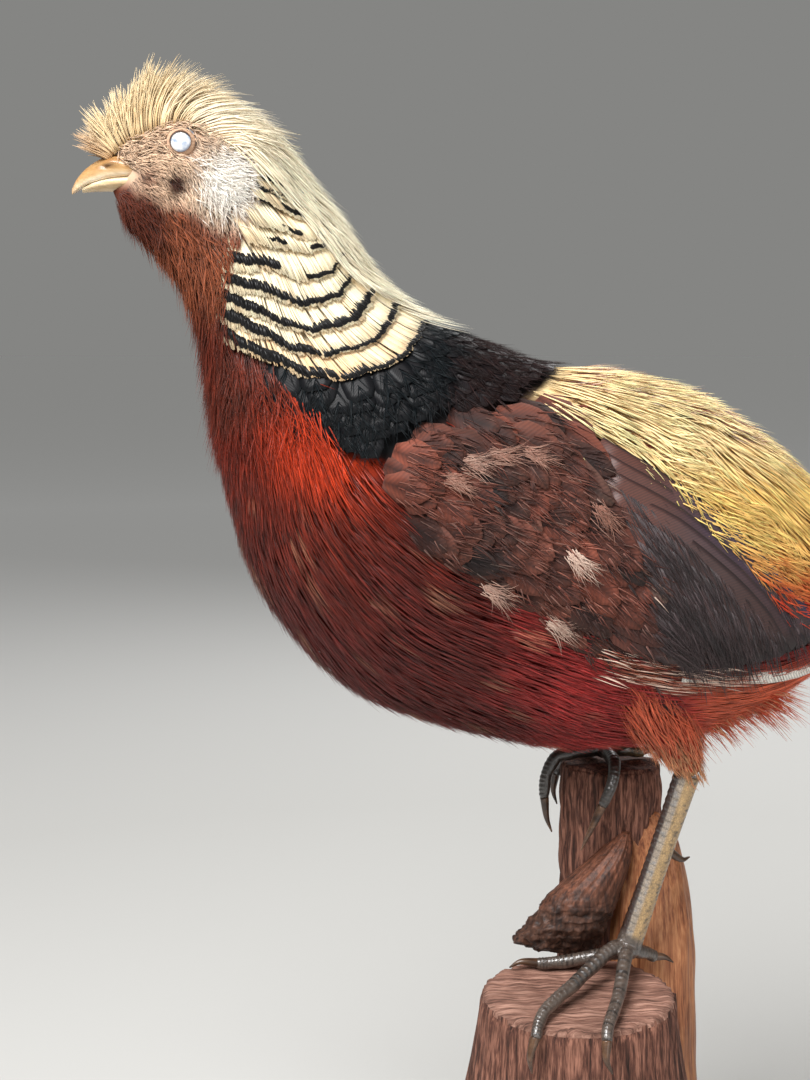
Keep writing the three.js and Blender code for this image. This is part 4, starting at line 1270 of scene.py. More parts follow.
class Skin:
    """The one skin of the bird: head, body, eyelids, thighs and scaly legs."""

    def __init__(self, sizes: SkinSizes) -> None:
        """Keeps the sizes."""
        self.sizes = sizes

    def build(self, plumage: bpy.types.Material, scales: bpy.types.Material) -> bpy.types.Object:
        """Makes the skin object.

        Args:
            plumage: Finish under the feathers.
            scales: Finish of the bare legs.

        Returns:
            The skin.
        """
        bm = bmesh.new()
        sleeve(bm, self.sizes.sides, self.sizes.rings, self._body)
        for side in Side:
            self._lids(bm, side)
            thigh = THIGHS[side]
            sleeve(bm, 40, 40, lambda turn, rise, t=thigh: t.surface(
                rise * 3, turn * 2 * math.pi, -np.clip(3.5 - 3 * rise, 1, 3) * MM))
        for side in Side:
            self._leg(bm, side)
        skin = finish_mesh(bm, "skin", [plumage, scales], self._colour)
        flesh = ["head", "neck", "breast", "belly", "rump"]
        flesh += [f"{part}_{side.label}" for part in ("thigh", "tarsus", "foot") for side in Side]
        LOG.info("skin: %d faces", len(skin.data.polygons))
        return dress(skin, "face_feather", *flesh)

    @staticmethod
    def _body(turn: Array, rise: Array) -> Array:
        """Places the body's skin, inside the plumage by the coat's depth."""
        u = rise * BODY.last
        angle = turn * 2 * math.pi
        outer = BODY.surface(u, angle)
        return BODY.surface(u, angle, relief(outer) - coat_depth(u))

    @staticmethod
    def _lids(bm: bmesh.types.BMesh, side: Side) -> None:
        """Adds the folded ring of bare skin round one eye."""
        turns, steps = 96, 28
        centre = EYE_AT * [1, side.value, 1]

        def place(turn: Array, rise: Array) -> Array:
            a, b = turn * 2 * math.pi, rise * 2 * math.pi
            fold = 0.16 * np.sin(3 * b + 0.6 * np.sin(5 * a)) * np.clip(np.sin(b), 0, 1)
            crease = 0.1 * np.sin(17 * a + 2 * np.sin(3 * a)) * np.clip(np.sin(b), 0, 1)
            radial = 4.4 + 0.75 * np.cos(b)
            shell = np.sqrt(np.maximum(6.65 ** 2 - np.minimum(radial, 6.5) ** 2, 0))
            out = shell + 0.4 * np.sin(b) + fold + crease
            tall = 0.97 - 0.05 * np.sin(a)
            return centre + np.stack([radial * np.cos(a) * 1.02, side.value * out,
                                      radial * np.sin(a) * tall], axis=1) * MM

        grid = bmesh.ops.create_grid(bm, x_segments=turns, y_segments=steps, size=1.0)
        flat = np.array([(v.co.x, v.co.y) for v in grid["verts"]]) * 0.5 + 0.5
        flat = np.where(flat > 1 - 1e-6, 0.0, flat)
        for vert, point in zip(grid["verts"], place(flat[:, 0], flat[:, 1])):
            vert.co = point
        bmesh.ops.remove_doubles(bm, verts=grid["verts"], dist=1e-7)

    def _leg(self, bm: bmesh.types.BMesh, side: Side) -> None:
        """Adds one scaly leg, its parts welded into a single skin."""
        s = self.sizes
        leg = bmesh.new()
        ankle, pad = TARSI[side]

        def shank(turn: Array, rise: Array) -> Array:
            front = np.clip(np.sin(turn * 2 * math.pi) * 1.4 - 0.2, 0, 1)
            saw = (rise * 74 / s.scute + 0.25 * np.cos(turn * 2 * math.pi)) % 1.0
            swell = 1.08 - 0.1 * np.sin(math.pi * rise)
            angle = turn * 2 * math.pi
            oval = s.tarsus_deep * s.tarsus_thick / np.hypot(s.tarsus_thick * np.sin(angle),
                                                             s.tarsus_deep * np.cos(angle))
            rear = np.clip(-np.sin(turn * 2 * math.pi), 0, 1)
            bead = 0.14 * np.sin(rise * 190) * np.sin(turn * 2 * math.pi * 9) * rear
            return (oval * swell + s.scute_step * front * saw + bead) * MM

        sleeve(leg, 72, 260, along_path((ankle, pad), shank))
        for path in TOES[side]:
            reach = sum(math.dist(a, b) for a, b in zip(path, path[1:]))

            def toe(turn: Array, rise: Array, reach: float = reach) -> Array:
                top = np.clip(np.sin(turn * 2 * math.pi) * 1.5 - 0.1, 0, 1)
                saw = (rise * reach / s.toe_scute) % 1.0
                under = np.clip(-np.sin(turn * 2 * math.pi), 0, 1)
                cushion = 0.55 * under * np.abs(np.sin(rise * reach / 9.0 * math.pi))
                end = np.sqrt(np.clip(1 - (np.clip(rise - 0.93, 0, 1) / 0.075) ** 2, 0.02, 1))
                radius = s.toe_root + (s.toe_tip - s.toe_root) * rise
                return (radius + s.scute_step * top * saw + cushion - 0.25 * top) * end * MM

            sleeve(leg, 48, max(40, int(reach * 3.2)), along_path(path, toe))
        ball = bmesh.ops.create_icosphere(leg, subdivisions=4, radius=s.pad_radius * MM)
        bmesh.ops.translate(leg, verts=ball["verts"], vec=Vector(pad) * MM)
        for vert in self._weld(leg, bm):
            for face in vert.link_faces:
                face.material_index = 1

    def _weld(self, leg: bmesh.types.BMesh, target: bmesh.types.BMesh) -> list[bmesh.types.BMVert]:
        """Fuses overlapping tubes by a fine voxel remesh and adds the result to the target.

        Args:
            leg: The overlapping tubes, which is freed.
            target: The bmesh that takes the fused skin.

        Returns:
            The new vertices of the target.
        """
        mesh = bpy.data.meshes.new("leg_blank")
        bmesh.ops.recalc_face_normals(leg, faces=leg.faces)
        leg.to_mesh(mesh)
        leg.free()
        blank = bpy.data.objects.new("leg_blank", mesh)
        bpy.context.scene.collection.objects.link(blank)
        remesh = blank.modifiers.new("fuse", "REMESH")
        remesh.mode = "VOXEL"
        remesh.voxel_size = self.sizes.voxel * MM
        graph = bpy.context.evaluated_depsgraph_get()
        fused = bpy.data.meshes.new_from_object(blank.evaluated_get(graph))
        before = len(target.verts)
        target.from_mesh(fused)
        target.verts.ensure_lookup_table()
        added = target.verts[before:]
        bmesh.ops.smooth_vert(target, verts=added, factor=0.2, use_axis_x=True, use_axis_y=True, use_axis_z=True)
        bpy.data.objects.remove(blank)
        bpy.data.meshes.remove(mesh)
        bpy.data.meshes.remove(fused)
        return added

    @staticmethod
    def _colour(p: Array) -> Array:
        """Plumage colours on the body, scale colours on the legs with painted shade darkening the right leg and its
        toes, and warm bare lids.
        """
        colour = markings(p)
        for side in Side:
            ankle, pad = (np.array(q, float) * MM for q in TARSI[side])
            axis = pad - ankle
            t = np.clip((p - ankle) @ axis / (axis @ axis), 0, 1)
            gap = np.linalg.norm(p - ankle - t[:, None] * axis, axis=1)
            toes, ring_at = np.full(len(p), 1.0), np.zeros(len(p))
            near = p[:, 2] < 290 * MM
            for path in TOES[side]:
                reach = sum(math.dist(a, b) for a, b in zip(path, path[1:]))
                knots = spline(np.array(path, float) * MM, np.linspace(0, len(path) - 1, 70))
                gaps = np.linalg.norm(p[near][:, None] - knots[None], axis=2)
                best = gaps.min(1) < toes[near]
                toes[near] = np.where(best, gaps.min(1), toes[near])
                ring_at[near] = np.where(best, gaps.argmin(1) / 69 * reach / SkinSizes.toe_scute, ring_at[near])
            on_leg = (np.minimum(gap, toes) < 7 * MM) & (p[:, 2] < (250 if side is Side.LEFT else 285) * MM)
            offset = p - ankle - t[:, None] * axis
            forward = unit(np.array([-1.0, 0, 0]) + axis * (axis[0] / (axis @ axis)))
            ahead = offset @ forward / (4.6 * MM)
            skin = flat_tone(p, LEG_SKIN)
            speck = smooth(0.1, 0.9, wobble(p, 2.2 * MM, 3.0) + wobble(p, 5 * MM, 1.0))
            skin = mix(skin, LEG_DARK, smooth(0.3, -0.8, ahead) * (0.15 + 0.75 * speck))
            skin = mix(skin, LEG_WHITE, smooth(0.05, 0.3, ahead) * (0.75 + 0.25 * speck))
            skin = mix(skin, LEG_FRONT, smooth(0.62, 0.78, ahead))
            phase = (t * 74 / 3.1 + 0.25 * offset[:, 1] / (3 * MM)) % 1.0
            skin = mix(skin, LEG_GROOVE, smooth(0.72, 0.95, phase) * smooth(0.05, 0.3, ahead) * 0.55)
            seam = np.exp(-((ahead - 0.05) / 0.1) ** 2)
            skin = mix(skin, LEG_GROOVE, 0.55 * seam * (0.4 + 0.6 * speck))
            on_toe = smooth(8, 5, toes / MM) * smooth(0.8, 0.97, t)
            toe = mix(flat_tone(p, LEG_TOE), LEG_DARK, 0.5 * speck)
            toe = mix(toe, LEG_GROOVE, smooth(0.66, 0.95, ring_at % 1.0) * 0.9)
            # Painted shade: the right foot's toes are darkened to half.
            toe = toe * (1.0 if side is Side.LEFT else 0.5)
            skin = mix(skin, toe, on_toe)
            # Painted shade: the whole right leg is darkened to 0.7 of its colour.
            skin = skin * (1.0 if side is Side.LEFT else 0.7)
            colour = np.where(on_leg[:, None], skin, colour)
            eye = EYE_AT * [1, side.value, 1]
            ring = np.linalg.norm((p - eye)[:, [0, 2]], axis=1) / MM
            lid = smooth(8.4, 7.2, ring) * (p[:, 1] * side.value > 8 * MM)
            colour = mix(colour, srgb("b7957b"), lid)
            colour = mix(colour, srgb("3b251e"), 0.9 * lid * smooth(4.2, 3.8, ring))
        return colour


# ------------------------------------------------------------------ head pieces


class Bill:
    """Upper and lower bill with a raised ridge, a nostril flap and a cutting edge."""

    UPPER = ((-157.0, 476.0, 469.6, 9.2), (-164.0, 477.4, 469.5, 8.8), (-171.0, 478.4, 469.2, 7.6),
             (-177.0, 476.6, 468.4, 5.9), (-182.5, 473.2, 466.8, 4.1), (-186.3, 469.2, 464.8, 2.4),
             (-188.2, 465.8, 463.6, 0.8))
    LOWER = ((-157.0, 469.8, 464.6, 8.4), (-164.0, 469.8, 464.6, 7.8), (-172.0, 469.4, 464.6, 6.4),
             (-179.0, 468.0, 464.6, 4.3), (-184.2, 466.2, 464.2, 2.0))

    def build(self, horn: bpy.types.Material) -> list[bpy.types.Object]:
        """Makes both halves."""
        upper = self._half("bill_upper_horn", self.UPPER, 1.0, horn)
        lower = self._half("bill_lower_horn", self.LOWER, -1.0, horn)
        dress(upper, "bill_horn", "bill_upper")
        dress(lower, "bill_horn", "bill_lower")
        return [upper, lower]

    def _half(self, name: str, rows: tuple, up: float, horn: bpy.types.Material) -> bpy.types.Object:
        """Rolls one half of the bill."""
        table = np.array(rows) * MM

        def place(turn: Array, rise: Array) -> Array:
            row = spline(table, rise * (len(rows) - 1))
            angle = turn * 2 * math.pi
            high, low, half = row[:, 1], row[:, 2], row[:, 3]
            cos, sin = np.cos(angle), np.sin(angle)
            keel = 1 - 0.1 * np.abs(np.sin(2 * angle)) * (up * cos > 0)
            inner = up * cos < 0
            z = (high + low) / 2 + np.where(inner, np.sign(cos) * np.abs(cos) ** 0.55, cos) * (high - low) / 2
            y = np.where(inner, np.sign(sin) * np.abs(sin) ** 0.3, sin) * half * keel
            x = row[:, 0] + 0 * z
            flap = np.exp(-((x / MM + 172.5) / 3.4) ** 2 - ((z / MM - 475.0) / 1.3) ** 2)
            slit = np.exp(-((x / MM + 173.5) / 2.6) ** 2 - ((z / MM - 473.3) / 0.55) ** 2)
            out = (0.9 * flap - 1.1 * slit) * MM if up > 0 else 0.0
            return np.stack([x, y + np.sign(sin) * np.where(np.abs(sin) > 0.3, out, 0.0), z], axis=1)

        bm = bmesh.new()
        sleeve(bm, 56, 70, place)
        return finish_mesh(bm, name, [horn], self._colour)

    @staticmethod
    def _colour(p: Array) -> Array:
        """Ochre horn, pale along the ridge and darker at the base, nostril and tip."""
        x, z = p[:, 0] / MM, p[:, 2] / MM
        colour = flat_tone(p, srgb("cdb893"))
        culmen = smooth(1.5, 5.0, z - 468 + 0.42 * np.clip(-x - 174, 0, 20))
        colour = mix(colour, srgb("b88f5c"), 0.85 * culmen)
        streak = np.exp(-((z - 469.6 + 0.3 * np.clip(-x - 174, 0, 20)) / 1.5) ** 2)
        colour = mix(colour, srgb("fbf2e0"), 0.8 * streak)
        colour = mix(colour, srgb("b98d5c"), 0.7 * smooth(-184, -189, x))
        colour = mix(colour, srgb("8a5532"), 0.6 * smooth(-168, -162, x))
        slit = np.exp(-((x + 173.5) / 2.8) ** 2 - ((z - 473.2) / 0.7) ** 2)
        colour = mix(colour, srgb("3a2216"), 0.95 * slit)
        flap = np.exp(-((x + 172.5) / 3.4) ** 2 - ((z - 475.2) / 1.4) ** 2)
        return mix(colour, srgb("7a4a2a"), 0.5 * flap)


class Eyes:
    """Two smooth glass eyes."""

    def build(self, glass: bpy.types.Material) -> list[bpy.types.Object]:
        """Makes both eyes."""
        made = []
        for side in Side:
            bm = bmesh.new()
            ball = bmesh.ops.create_uvsphere(bm, u_segments=64, v_segments=40, radius=EYE_RADIUS)
            bmesh.ops.translate(bm, verts=ball["verts"], vec=Vector(EYE_AT * [1, side.value, 1]))
            eye = finish_mesh(bm, f"glass_eye_{side.label}", [glass])
            made.append(dress(eye, "eye_glass", f"eye_{side.label}"))
        return made


class Claws:
    """Claws and spurs of both feet."""

    def build(self, horn: bpy.types.Material) -> list[bpy.types.Object]:
        """Makes one curved horn for each claw and spur."""
        made = []
        for side in Side:
            for name, path in CLAWS[side].items():
                root = 2.1 if name == "spur" else 1.95

                def radius(turn: Array, rise: Array, root: float = root) -> Array:
                    keel = 1 - 0.18 * np.clip(-np.sin(turn * 2 * math.pi), 0, 1)
                    return (root + (0.3 - root) * rise ** 1.15) * keel * MM

                bm = bmesh.new()
                sleeve(bm, 28, 34, along_path(path, radius))
                claw = finish_mesh(bm, f"horn_{name}_{side.label}", [horn], self._colour)
                node = f"spur_{side.label}" if name == "spur" else f"claw_{name}_{side.label}"
                made.append(dress(claw, "claw", node))
        return made

    @staticmethod
    def _colour(p: Array) -> Array:
        """Brown horn with paler patches."""
        base = np.tile(np.array(srgb("8c7360")), (len(p), 1))
        return mix(base, srgb("3b2c24"), 0.5 + 0.5 * wobble(p, 9 * MM, 2.0))


# ------------------------------------------------------------------ plumage pieces


def near_eye(p: Array) -> Array:
    """1 away from the eyes, 0 over the eyeball and its lids."""
    ring = np.linalg.norm((p - EYE_AT * [1, 1, 1])[:, [0, 2]], axis=1) / MM
    return np.where(np.abs(p[:, 1]) > 6 * MM, smooth(4.4, 4.9, ring), 1.0)


CREST_GUIDES = (
    ((-173.0, 474.9), (-179.8, 478.0), (-186.1, 479.7)), ((-171.6, 477.1), (-177.5, 482.8), (-183.2, 488.6)),
    ((-168.9, 478.8), (-175.0, 487.7), (-177.6, 497.0)), ((-165.2, 480.6), (-170.4, 492.2), (-168.7, 502.4)),
    ((-160.6, 482.1), (-163.9, 498.4), (-158.2, 512.0)), ((-155.1, 483.8), (-156.6, 500.1), (-145.0, 513.5)),
    ((-150.5, 486.0), (-148.8, 501.5), (-133.0, 507.8)), ((-145.4, 486.9), (-139.4, 499.3), (-123.1, 499.6)),
    ((-141.5, 485.1), (-130.4, 493.1), (-111.4, 490.6)), ((-136.1, 481.7), (-123.3, 487.0), (-104.8, 483.3)),
    ((-130.7, 477.2), (-116.1, 479.1), (-97.2, 467.3)),
)


class Feathering:
    """All the small feathers, combed over the body form as joined meshes."""

    def __init__(self, rng: np.random.Generator, finishes: dict[str, bpy.types.Material]) -> None:
        """Keeps the random source and the finishes."""
        self.rng = rng
        self.finishes = finishes
        self.body = Grower(BODY, rng)

    def build(self) -> None:
        """Makes every small-feather piece in order."""
        self.crest()
        self.face()
        self.throat()
        self.cape()
        self.underparts()
        self.rump()
        self.legs_and_vent()

    def crest(self) -> None:
        """Silky golden crest that fans up from the brow, and the drape down the nape."""
        coat = CoatMesh("crest_silk", "crest_feather")
        self._fan(coat, 2900, 6)
        u, a = self.body.scatter(1500, (3.0, 8.6), lambda p, u, a: CREST_BAND.mask(p, 2))
        drape = Comb(length=36, width=0.8, rings=5, sunk=2.5, proud=2.6, splay=5, lift=0.8, lock=10,
                     fall=2, tip_light=0.1)
        self.body.comb(coat, u, a, drape, self._yellow, depth=np.full(len(u), 1.9 * MM),
                       length=np.clip(44 - 2.2 * u, 22, 40), spread_map=(-14, 10, -math.pi, math.pi),
                       avoid=(CAPE_SIDE,))
        dress(coat.build(self.finishes["silk"]), "crest_feather", "crest")

    def _fan(self, coat: CoatMesh, count: int, rings: int) -> None:
        """Adds the upright part of the crest as locks of hair that follow guides.

        Args:
            coat: The mesh that takes the hairs.
            count: Number of hairs.
            rings: Rings of each hair.
        """
        rng = self.rng
        guides = np.array(CREST_GUIDES) * MM
        last = len(guides) - 1
        g = rng.uniform(0, last, count)
        v = rng.uniform(-1, 1, count)
        side_view = spline(guides.reshape(last + 1, 6), g).reshape(count, 3, 2)
        x, z = side_view[..., 0], side_view[..., 1]
        turn = np.sin(v * math.pi / 2)
        half = np.interp(x[:, 0] / MM, (-175, -160, -146, -130, -110), (4.5, 10.0, 13.4, 14.0, 14.5)) * MM
        crown = np.interp(x[:, 0] / MM, (-174, -169.5, -157.5, -141, -125.5), (479, 484, 490.5, 494.5, 491)) * MM
        rise = (np.maximum(crown - z[:, 0], 0)) * np.cos(v * math.pi / 2)
        z = z + rise[:, None] * np.array([1.0, 0.45, 0.0])
        y = np.stack([turn * half, turn * (half + 2.2 * MM), turn * np.interp(g, (0, 4, last), (5.5, 8.5, 14)) * MM], 1)
        knots = np.stack([x, y, z], axis=2)
        lock = np.stack([np.floor(g * 3.4), np.floor((v + 1) * 3.5)], axis=1)
        seed = np.abs(np.sin(lock @ np.array([12.9898, 78.233])) * 43758.5453) % 1.0
        seed2 = np.abs(np.sin(lock @ np.array([39.346, 11.135])) * 24634.6345) % 1.0
        reach = (0.7 + 0.27 * seed) * (0.55 + 0.5 * rng.random(count) ** 0.7)
        knots[:, 1:] = knots[:, :1] + (knots[:, 1:] - knots[:, :1]) * reach[:, None, None]
        sway = np.stack([seed2 - 0.5, 0.5 * (seed - 0.5), 0.4 * (0.5 - seed2)], axis=1) * 8.5 * MM
        knots[:, 2] += sway + rng.normal(0, 0.85, (count, 3)) * MM
        t = np.linspace(0, 1, rings)[None, :, None]
        path = (1 - t) ** 2 * knots[:, None, 0] + 2 * t * (1 - t) * knots[:, None, 1] + t ** 2 * knots[:, None, 2]
        normal = unit(np.stack([-0.35 * (1 - g / last), turn, 0.35 + 0.6 * np.cos(v * math.pi / 2)], axis=1))
        normals = np.repeat(normal[:, None], rings, axis=1)
        taper = np.clip(1 - 0.85 * t[..., 0] ** 2.2, 0.08, 1) * np.clip(0.6 + 1.5 * t[..., 0], 0, 1)
        width = 0.66 * MM * rng.uniform(0.75, 1.2, (count, 1)) * taper
        tone = self._yellow(path[:, -1]) * rng.uniform(0.8, 1.12, (count, 1))
        front = smooth(1.6, 0.3, g)[:, None]
        tone = tone * (1 - 0.5 * front) + np.array(Tint.FRINGE) * 0.5 * front
        deep = np.array(Tint.CREST_DEEP) * rng.uniform(0.7, 1.1, (count, 1))
        share = np.clip(0.5 * (1 - t) ** 2 + 0.3 * (rng.random((count, 1, 1)) < 0.15), 0, 1)
        tones = tone[:, None] * (1 - share) + deep[:, None] * share
        root = np.stack([0.02 + 0.95 * g / last, 0.02 + 0.95 * (v + 1) / 2], axis=1)
        clear = ~over_eye(path).any(1)
        coat.blades(path[clear], normals[clear], width[clear], width[clear] * 0.3,
                    np.clip(tones[clear], 0.001, 1), root[clear])

    def _yellow(self, p: Array) -> Array:
        """Crest colour from deep yellow on the crown to cream on the nape."""
        pale = smooth(-150, -112, p[:, 0] / MM + 10 * wobble(p, 14 * MM, 3.0))
        base = mix(flat_tone(p, Tint.CREST), Tint.CREST_PALE, 0.2 + 0.8 * pale)
        return mix(base, Tint.CREST_DEEP, 0.3 * (0.4 + 0.6 * wobble(p, 7 * MM, 8.0)) * (1 - pale))

    def face(self) -> None:
        """Short face feathers, the white cheek tuft and the dark ear patch."""
        coat = CoatMesh("face_down", "face_feather")

        def on_face(p: Array, u: Array, a: Array) -> Array:
            x, z = p[:, 0] / MM, p[:, 2] / MM
            return near_eye(p) * smooth(-104, -110, x) * smooth(448, 456, z + 0.3 * (x + 150)) * smooth(
                -172, -168, x) * (1 - 0.85 * CREST_BAND.mask(p, 1))

        u, a = self.body.scatter(7200, (0.2, 6.2), on_face, (170, 160))
        short = Comb(length=5.4, width=0.55, rings=3, sunk=0.7, proud=0.6, splay=26, lift=0.5, lock=5, fall=16,
                     shade=0.34, tip_light=0.5)
        self.body.comb(coat, u, a, short, ground, spread_map=(0, 7, -math.pi, math.pi), avoid=(CAPE_PATCH,))

        def on_cheek(p: Array, u: Array, a: Array) -> Array:
            x, z = p[:, 0] / MM, p[:, 2] / MM
            return np.exp(-((x + 131) / 6.5) ** 2 - ((z - 467) / 6.5) ** 2) * (np.abs(p[:, 1]) > 5 * MM)

        u, a = self.body.scatter(1700, (2.2, 6.2), on_cheek)
        fluff = Comb(length=7.0, width=0.5, rings=4, sunk=1.0, proud=1.5, splay=28, lift=1.1, lock=6, fall=-4,
                     curl=0.4, shade=0.14, tip_light=0.1)
        self.body.comb(coat, u, a, fluff, lambda p: mix(ground(p), Tint.CHEEK, np.full(len(p), 0.75)),
                       spread_map=(0, 7, -math.pi, math.pi), avoid=(CAPE_PATCH,))
        dress(coat.build(self.finishes["matte"]), "face_feather")

    def throat(self) -> None:
        """Rusty throat and the brown front of the neck."""
        coat = CoatMesh("throat_hackle", "throat_feather")

        def on_throat(p: Array, u: Array, a: Array) -> Array:
            x, z = p[:, 0] / MM, p[:, 2] / MM
            low = smooth(458, 450, z + 0.3 * (x + 150)) * smooth(372, 384, z)
            return low * (1 - CAPE_PATCH.mask(p, 1)) * (1 - CREST_BAND.mask(p, 1)) * (x < -95)

        u, a = self.body.scatter(5800, (0.2, 9.6), on_throat)
        bristle = Comb(length=11, width=0.62, rings=3, sunk=1.4, proud=1.1, splay=26, lift=2.0, lock=5, fall=4,
                       shade=0.42, tip_light=0.6)
        self.body.comb(coat, u, a, bristle, ground, length=np.clip(5.5 + 1.3 * u, 6, 15),
                       spread_map=(0, 10, -math.pi, math.pi), avoid=(CAPE_PATCH, MANTLE_PATCH))
        dress(coat.build(self.finishes["matte"]), "throat_feather")

    def cape(self) -> None:
        """Cream cape in overlapping rows, each edged with a black bar."""
        for side in Side:
            coat = CoatMesh(f"cape_hackle_{side.label}", "cape_feather")
            rows = spline(np.array(CAPE_ROWS), np.linspace(0, len(CAPE_ROWS) - 1, CAPE_COUNT))
            for number, row in enumerate(rows):
                self._cape_row(coat, side, row, number)
            nodes = ("cape",) if side is Side.LEFT else ()
            dress(coat.build(self.finishes["silk"]), "cape_feather", *nodes)

    def _cape_row(self, coat: CoatMesh, side: Side, row: Array, number: int) -> None:
        """Adds one row of cream strands and its black edge.

        Args:
            coat: The mesh that takes the row.
            side: Side of the bird.
            row: Station and angle of a point on the row's edge, angle of its front end and its bow.
            number: Row number from the nape.
        """
        station, at, front, sag = row
        for kind, count in (("strand", 320), ("bar", 380)):
            phi = self.rng.uniform(0.0, 1.0, count)
            a = phi * front * side.value
            group = np.floor(phi * (5 + number * 0.5) + 0.37 * number)
            shift = 0.04 * np.sin(group * 12.9 + 7 * number) + 0.015 * np.sin(phi * 61 + number)
            bow = np.interp(phi, BOW_AT, BOW) - np.interp(at / front, BOW_AT, BOW)
            edge = station + sag * bow + shift
            keep = CAPE_PATCH.mask(BODY.surface(edge, a), 1.5) > self.rng.random(count) * 0.5
            if kind == "bar":
                keep &= np.sin(group * 4.1 + number * 2.3) > -0.985
            edge, a = edge[keep], a[keep]
            _, _, along, _ = BODY.frame(edge, a)
            speed = np.linalg.norm(along, axis=1) / MM
            stack = np.full(len(edge), (1.0 - 0.07 * number) * MM)
            if kind == "strand":
                self.body.comb(coat, edge - 16.7 / speed, a, STRAND, self._cream, depth=stack,
                               spread_map=(3, 10, -math.pi, math.pi))
            else:
                thick = 2.9 + 1.3 * phi[keep] + 0.5 * np.sin(group[keep] * 7.3 + number)
                self.body.comb(coat, edge - (thick - 0.25) / speed, a, BAR, self._black, length=thick,
                               depth=stack + 0.3 * MM, spread_map=(3, 10, -math.pi, math.pi))

    def _cream(self, p: Array) -> Array:
        """Cape cream, warmer low down and at the front."""
        warm = 0.12 + 0.3 * wobble(p, 9 * MM, 6.0) + 0.45 * smooth(420, 400, p[:, 2] / MM)
        return mix(flat_tone(p, Tint.CAPE), Tint.CAPE_WARM, warm)

    def _black(self, p: Array) -> Array:
        """Bar colour."""
        return flat_tone(p, Tint.BAR)

    def underparts(self) -> None:
        """Breast, belly and flank in hair-like red feathers."""

        def bare(p: Array) -> Array:
            covered = np.maximum.reduce([CAPE_PATCH.mask(p, 2), CREST_BAND.mask(p, 2), WING_PATCH.mask(p, 2),
                                         MANTLE_PATCH.mask(p, 2), RUMP_PATCH.mask(p, 3)])
            return 1 - covered

        spans = (("breast_plumage", "breast_feather", (6.6, 10.2), 8000, 13.0, 0.9),
                 ("belly_plumage", "belly_feather", (9.9, 13.2), 7800, 18.0, 0.9),
                 ("flank_plumage", "belly_feather", (12.8, 18.0), 6600, 20.0, 0.85))
        for name, slot, span, count, length, width in spans:
            coat = CoatMesh(name, slot)
            u, a = self.body.scatter(count, span, lambda p, u, a: bare(p) * (
                (p[:, 0] > -95 * MM) | (p[:, 2] < 412 * MM)))
            style = Comb(length=length, width=width, rings=3, sunk=2.0, proud=0.5, splay=17, lift=0.9, lock=15,
                         fall=-4, curl=-0.7, bluntness=0.12, shade=0.5, tip_light=0.75)
            self.body.comb(coat, u, a, style, ground, spread_map=(*span, -math.pi, math.pi),
                           avoid=(CAPE_PATCH, MANTLE_PATCH))
            dress(coat.build(self.finishes["gloss"]), slot)

    def rump(self) -> None:
        """Golden rump strands that sweep down over the wing's end, and their brown fringe."""
        coat = CoatMesh("rump_gold", "rump_feather")
        u, a = self.body.scatter(4300, (11.2, 17.9), lambda p, u, a: RUMP_PATCH.mask(p, 3) + 0.0)
        style = Comb(length=25, width=1.1, rings=4, sunk=1.6, proud=1.4, splay=9, lift=0.9, lock=12, fall=24,
                     bluntness=0.1, shade=0.18, tip_light=0.4)
        self.body.comb(coat, u, a, style, gilt, fall=12 + 26 * smooth(0, 1.2, np.abs(a)),
                       depth=np.full(len(u), 1.2 * MM), spread_map=(11, 18, -math.pi, math.pi))
        u, a = self.body.scatter(850, (11.6, 17.0), lambda p, u, a: RUMP_PATCH.mask(p, 3) * (np.abs(a) < 0.5))
        def on_edge(p: Array, u: Array, a: Array) -> Array:
            inside = RUMP_PATCH.depth(p)
            return ((inside > -1.5 * MM) & (inside < 13 * MM) & (p[:, 0] > 20 * MM) & (np.abs(a) > 0.5)) * 1.0

        low_u, low_a = self.body.scatter(1500, (12.0, 17.9), on_edge)
        sweep = Comb(length=19, width=0.85, rings=4, sunk=0.5, proud=1.8, splay=9, lift=0.8, lock=9, fall=16,
                     bluntness=0.1, shade=0.26, tip_light=0.3)
        self.body.comb(coat, low_u, low_a, sweep, gilt, depth=np.full(len(low_u), 3.2 * MM),
                       spread_map=(11, 18, -math.pi, math.pi))
        fringe = Comb(length=11, width=0.5, rings=4, sunk=0.5, proud=2.2, splay=20, lift=1.3, lock=8, fall=6)
        self.body.comb(coat, u, a, fringe, self._fringe,
                       spread_map=(11, 18, -math.pi, math.pi))
        dress(coat.build(self.finishes["silk"]), "rump_feather")

    def _fringe(self, p: Array) -> Array:
        """Red-brown and pale pink hairs by turns."""
        return mix(flat_tone(p, Tint.FRINGE), Tint.COVERT_PALE, (self.rng.random(len(p)) < 0.45) * 0.9)

